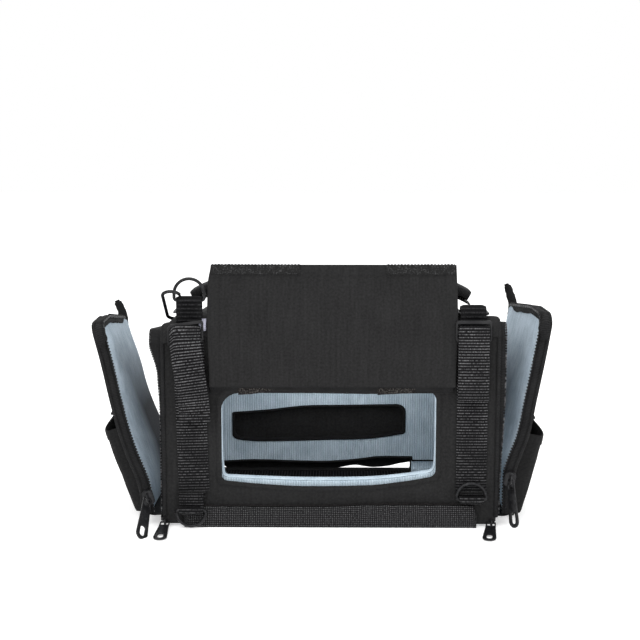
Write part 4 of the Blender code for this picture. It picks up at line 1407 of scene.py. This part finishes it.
def make_door_pad(side):
    """The felt pad inside a door, swollen by cloth pressure."""
    name = side_name(side)
    inner = DOOR_INNER[side]

    def pad_depth(y, z):
        edge = min(PAD_HALF - abs(y), DOOR_CLOTH_TOP - z, z - DOOR_LOW)
        crown = 1 - math.exp(-max(edge, 0) / 0.009)
        proud = 0.003 * ease((y - 0.05) / 0.02)
        return inner + 0.002 - 0.0018 * crown - proud + 0.0004 * ripple(y, z, 0, 0.035, 34 + side)

    rows = door_rows(side, -1, PAD_HALF - 0.0002, DOOR_PAD_TOP, pad_depth)
    pad = grid(name + "_door_pad", rows, "door_felt")
    thicken(pad, 0.004, 0.0012)
    back = door_matrix(side).inverted()

    def held(co):
        place = back @ co
        rim = min(PAD_HALF - abs(place.y), DOOR_CLOTH_TOP - place.z, place.z - DOOR_LOW)
        return rim < 0.005 or side * place.x > inner + 0.003 + door_bend(side, place.z)

    puff(pad, held, 0.0022)
    bend_on(pad, side, "blue_felt", name + "_door_liner")


def make_door_tape(side):
    """The crumpled tape round the rim of a door, its half of the coil and its welt."""
    name = side_name(side)
    inner, outer = DOOR_INNER[side], DOOR_OUTER[side]
    rows = []
    for y, z in end_path(0.0006, DOOR_LOW + 0.001, 0.0022):
        crown = ease((z - 0.11) / 0.04)
        row = []
        for t in np.linspace(0, 1, 9):
            inset = 0.0026 * (1 - math.sin(math.pi * clamp(t * 0.75 + 0.12)))
            wrinkle = (0.0006 + 0.001 * crown) * ripple(y, z, t * 0.012, 0.009, 38 + side)
            scale = 1 - (inset + 0.0004 + abs(wrinkle) * 0.4) / HALF_DEPTH
            height = z - (inset + abs(wrinkle) * 0.4) * ease((z - 0.15) / 0.01)
            reach = mix(inner + 0.0002, outer - 0.0002, t) + wrinkle * 0.5
            row.append(on_door(side, reach, y * scale, height))
        rows.append(row if side > 0 else row[::-1])
    tape = thicken(grid(name + "_door_rim_tape", rows, "tape"), 0.001, 0.0002)
    bend_on(tape, side, "zip_tape", name + "_door_tape")
    line = [on_door(side, inner - 0.0001, y, z) for y, z in end_path(0.0026, 0.012, TOOTH_PITCH)]
    teeth = beads(name + "_door_coil", line, (0.0015, 0.0022, 0.0016), "coil", (-side, 0, 0))
    bend_on(teeth, side, "zip_tape")
    line = [on_door(side, outer - 0.0004, y, z) for y, z in end_path(0.0016, DOOR_LOW + 0.001)]
    welt = tube(name + "_door_welt", line, 0.0014, "binding", flat=0.9)
    bend_on(welt, side, "black_cordura")


def make_door_hinge(side):
    """The cloth between the case and the foot of a door."""
    name = side_name(side)
    rows = []
    hinge_x = side * FRAME_OUT[side]
    for x, z in (
        (side * (HALF_WIDTH - 0.003), 0.0098), (mix(side * HALF_WIDTH, hinge_x, 0.5), 0.0094),
        (hinge_x, 0.009), (hinge_x + side * 0.003, 0.0093), (hinge_x + side * 0.0064, 0.0104),
    ):
        row = [(x, y, z + 0.0004 * ripple(x, y, 0, 0.012, 42)) for y in np.linspace(-0.0725, 0.0725, 60)]
        rows.append(row if side > 0 else row[::-1])
    flap = thicken(grid(name + "_hinge_cloth", rows, "cordura"), -0.0008, 0.0002)
    start, end = (hinge_x - side * 0.003, 0, 0.0095), (hinge_x + side * 0.003, 0, 0.0095)
    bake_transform(flap)
    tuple(start)
    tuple(end)


def make_door_border(side):
    """The tape's dark inner border, its folded block at the front corner and its loose loop at the rear."""
    name = side_name(side)
    inner = DOOR_INNER[side]
    rows = []
    for y, z in end_path(0.0008, DOOR_LOW + 0.001, 0.0022):
        wide = mix(0.0028, 0.0006, ease((y - 0.05) / 0.02)) + 0.0042 * ease((z - 0.152) / 0.01)
        row = []
        for t in np.linspace(0, 1, 6):
            crumple = 0.001 * t * ripple(y, z, t * 0.02, 0.01, 60 + side)
            shift = t * wide + crumple
            row.append(on_door(side, inner - 0.0004 + 0.0012 * t + crumple, y * (1 - shift / HALF_DEPTH),
                               z - shift * ease((z - 0.152) / 0.012)))
        rows.append(row[::-1] if side > 0 else row)
    border = thicken(grid(name + "_door_border", rows, "tape"), 0.0008, 0.0002)
    bend_on(border, side, "zip_tape")
    middle = inner + DOOR_THICKNESS / 2
    path = ((-0.0716, 0.1485), (-0.0718, 0.156), (-0.069, 0.1625), (-0.063, 0.165))
    line = along([on_door(side, middle, y, z) for y, z in path], 0.0012)

    def block_radius(t):
        return 0.0026 + 0.0026 * math.sin(math.pi * clamp(t * 0.9 + 0.05))

    block = tube(name + "_folded_tape", line, block_radius, "tape", sides=14)
    for vert in block.data.vertices:
        vert.co.x += 0.0012 * ripple(*vert.co, 0.005, 63)
        vert.co.z += 0.0012 * ripple(*vert.co, 0.004, 64)
    bend_on(block, side, "zip_tape")
    foot = on_door(side, middle - 0.001, 0.069, 0.16)
    rise = 0.024 if side < 0 else 0.027
    path = [foot, foot + Vector((-0.0004, 0.001, rise * 0.4)), foot + Vector((-0.0034, 0.002, rise * 0.75)),
            foot + Vector((-0.0062, 0.0015, rise))]
    horn = tube(name + "_tape_loop", along(path, 0.0012), lambda t: 0.0048 - 0.0016 * t - 0.0012 * (t > 0.94),
                "tape", sides=14, flat=0.6)
    for vert in horn.data.vertices:
        vert.co.x += 0.0009 * ripple(*vert.co, 0.004, 66)
    bend_on(horn, side, "zip_tape")


def make_pouch(side):
    """The pocket on the outside of a door: sagging walls, a folded hem and a dark open mouth."""
    name = side_name(side)
    near = FRAME_OUT[side] + DOOR_THICKNESS + 2 * GAP
    low, high = POUCH_Z[side]

    def loop(z, inset, shrink=0.0):
        rise = (z - low) / (high - low)
        depth = mix(*POUCH_DEPTH[side], rise) - inset - shrink
        wide = POUCH_HALF - inset - shrink
        row = []
        for step in range(72):
            angle = 2 * math.pi * step / 72
            c, s = math.cos(angle), math.sin(angle)
            u = 0.5 + 0.5 * math.copysign(abs(c) ** 0.35, c)
            v = math.copysign(abs(s) ** 0.35, s)
            x = near + inset * 0.7 + u * (depth - inset * 0.7)
            sag = 0.0016 * math.sin(math.pi * clamp(rise)) * (0.4 + ripple(v * 0.05, z, u, 0.03, 50 + side))
            x += u * min(sag, 0.0012) - 0.0012 * u * math.cos(v * 5.0) * rise ** 2
            y = wide * v * (1 - 0.006 * (1 - rise))
            lift = 0.0016 * rise ** 3 * (math.cos(v * 3.1) * (0.5 + u * 0.5) - 0.4)
            row.append(on_door(side, x, y, z + lift, 1 - u))
        return row if side < 0 else row[::-1]

    rows = [loop(low + 0.0006, 0.0, 0.005), loop(low, 0.0, 0.0022), loop(low + 0.0012, 0.0, 0.0004)]
    rows += [loop(z, 0.0) for z in np.linspace(low + 0.0035, high - 0.0092, 16)]
    rows += [loop(high - 0.0086, -0.0006), loop(high - 0.005, -0.0006), loop(high - 0.0008, -0.0003)]
    rows += [loop(high, 0.0006), loop(high - 0.001, 0.0014), loop(high - 0.008, 0.0017)]
    rows += [loop(z, 0.0016) for z in np.linspace(high - 0.012, low + 0.006, 10)]
    rows += [loop(low + 0.003, 0.0022, 0.002)]
    pouch = grid(name + "_pouch_cloth", rows, "cordura", wrap=True, caps=True)
    bend_on(pouch, side, "black_cordura", name + "_door_pouch")

    path = [(0.001, 0.019), (0.002, 0.011), (0.006, 0.0048), (0.0115, 0.0033), (0.0155, 0.0046)]
    line = along([on_door(side, near + u, 0, high + v, clamp(1 - u / 0.016)) for u, v in path], RIB_PITCH / 4)
    tab = handle_band(name + "_pouch_webbing", line, 0.0122, 0.0018, "webbing", 3)
    bend_on(tab, side, "black_webbing", name + "_door_pouch_strap")


# ---------------------------------------------------------------- sliders and pulls


def make_pull(name, matrix, body):
    """A pull tag with a window for its bail and an eye at its end, hanging down from its bar."""
    half = PULL_WIDTH / 2
    outline = arc(0, PULL_LENGTH - half, half, 180, 0, 16)
    outline += [(0.005, 0.024), (0.0042, 0.012), (0.004, 0.0005), (0.0034, -0.0007)]
    outline += [(-0.0034, -0.0007), (-0.004, 0.0005), (-0.0042, 0.012), (-0.005, 0.024)]
    window = rounded(-0.0029, 0.0007, 0.0029, 0.0072, (0.0008,) * 4, corner=3)
    eye = rounded(-0.0022, PULL_LENGTH - 0.012, 0.0022, PULL_LENGTH - 0.0032, (0.0021,) * 4)
    flipped = [[(u, -v) for u, v in loop] for loop in (outline, window, eye)]
    pull = plate(name + "_tag", flipped[0], flipped[1:], PULL_THICKNESS - 0.0002, matrix, "metal", 0.00035)
    place_on(pull, body + "_pull_body", "black_metal", name)


def slider_parts(name, matrix, bail):
    """A slider in its own space, its back on y 0 and its bail towards -Y, then put in place."""
    wide, tall = SLIDER_WIDE / 2, SLIDER_TALL / 2
    outline = rounded(-wide, -tall, wide, tall, (0.0022, 0.0022, 0.003, 0.003))
    lower = plate("lower", outline, [], 0.001, matrix @ Matrix.Translation((0, -0.0006, 0)), "metal", 0.0003)
    waist = [(u * (0.62 + 0.38 * abs(v / tall) ** 2), v) for u, v in outline]
    block = plate("block", waist, [], 0.0014, matrix @ Matrix.Translation((0, -0.0016, 0)), "metal", 0.0)
    crown = [(u * 0.97, v * 0.97) for u, v in outline]
    upper = plate("upper", crown, [], 0.0012, matrix @ Matrix.Translation((0, -0.0027, 0)), "metal", 0.0004)
    line = along([matrix @ Vector((0, y, z)) for y, z in bail], 0.0006)
    arch = tube("arch", line, 0.0008, "metal")
    return joined(name + "_zip", [lower, block, upper, arch])


def make_sliders(side):
    """Two sliders on the door's rim and one parked under the case, each with its pull tag."""
    name = side_name(side)
    door = door_matrix(side)
    for facing, where in ((-1, "front"), (1, "rear")):
        part = f"{name}_{where}"
        bar = door.inverted() @ Vector(JOINTS[part + "_pull_hinge"]["pos_m"])
        turn = Matrix.Rotation(math.pi if facing > 0 else 0.0, 4, "Z")
        place = Matrix.Translation(bar - Vector((0, facing * BAIL_REACH, 0)))
        bail = [(-0.003, -0.0034), (-0.0056, -0.003), (-0.0074, -0.0012), (-0.0074, 0.0012), (-0.0056, 0.003),
                (-0.003, 0.0034)]
        slider = slider_parts(part + "_slider", door @ place @ turn, bail)
        place_on(slider, part + "_slider_body", "black_metal", part + "_slider")
        swing = Matrix.Rotation(-side * (DOOR_LEAN[side] + PULL_SPLAY), 4, "Y")
        swing = swing @ Matrix.Rotation(facing * PULL_DROP[side], 4, "X")
        swing = swing @ Matrix.Rotation(PULL_YAW[side], 4, "Z")
        make_pull(part + "_pull", door @ Matrix.Translation(bar) @ swing, part)
    part = name + "_corner"
    bar = Vector(JOINTS[part + "_pull_hinge"]["pos_m"])
    place = Vector((bar.x, bar.y + 0.0085, bar.z + 0.0033))
    flat = Matrix.Translation(place) @ Matrix.Rotation(math.radians(90), 4, "X")
    bail = [(-0.0024, 0.005), (-0.004, 0.0068), (-0.0054, 0.0085), (-0.005, 0.0106), (-0.0034, 0.0112),
            (-0.0018, 0.0102), (-0.0012, 0.0086), (-0.0016, 0.0056)]
    slider = slider_parts(part + "_slider", flat, bail)
    place_on(slider, part + "_slider_body", "black_metal", part + "_slider")
    swing = Matrix.Rotation(CORNER_PULL_YAW[side], 4, "Z") @ Matrix.Rotation(CORNER_PULL_DROP, 4, "X")
    make_pull(part + "_pull", Matrix.Translation(bar) @ swing, part)


# ---------------------------------------------------------------- stage


def make_stage():
    """White surroundings, a white floor that shows only contact shadow, soft lights and the camera."""
    world = bpy.data.worlds.new("white_studio")
    bpy.context.scene.world = world
    world.use_nodes = True
    world.node_tree.nodes["Background"].inputs["Color"].default_value = (1, 1, 1, 1)
    world.node_tree.nodes["Background"].inputs["Strength"].default_value = 1.0
    far = 6
    corners = [(-far, -far, 0), (far, -far, 0), (far, far, 0), (-far, far, 0)]
    add_mesh("floor", corners, [(0, 1, 2, 3)], "floor")
    for name, place, size, power in (
        ("key", (-0.7, -1.4, 1.5), 1.0, 14.0),
        ("fill", (1.2, -1.1, 0.9), 1.0, 7.0),
        ("top", (0.0, 0.2, 1.9), 1.4, 22.0),
        ("inside", (0.005, -0.02, 0.12), 0.085, 0.075),
    ):
        light = bpy.data.lights.new(name, "AREA")
        light.size = size
        light.energy = power
        lamp = bpy.data.objects.new(name, light)
        lamp.location = place
        target = Vector((0, 0.06, 0.02)) if name == "inside" else Vector((0, 0, 0.08))
        lamp.rotation_euler = (target - Vector(place)).to_track_quat("-Z", "Y").to_euler()
        bpy.context.scene.collection.objects.link(lamp)
    lens = bpy.data.cameras.new("camera")
    lens.lens = 73.0
    lens.sensor_width = 36.0
    camera = bpy.data.objects.new("camera", lens)
    camera.location = (0.0024, -1.093, 0.314)
    camera.rotation_euler = (math.radians(81.9), 0.0, math.radians(0.6))
    bpy.context.scene.collection.objects.link(camera)
    bpy.context.scene.camera = camera
    bpy.context.scene.view_settings.view_transform = "Standard"


def main():
    """Every piece in turn, then the stage."""
    make_front()
    make_back()
    make_top()
    make_floor()
    make_boot()
    make_front_cover()
    make_rear_cover()
    make_pad()
    make_handle()
    make_hook()
    for side in (-1, 1):
        make_end(side)
        make_front_webbing(side)
        make_rear_webbing(side)
        make_slide(side)
        make_ring_tab(side)
        make_ring_loop(side)
        make_rings(side)
        make_door_shell(side)
        make_door_pad(side)
        make_door_tape(side)
        make_door_hinge(side)
        make_door_border(side)
        make_pouch(side)
        make_sliders(side)
    make_stage()


main()
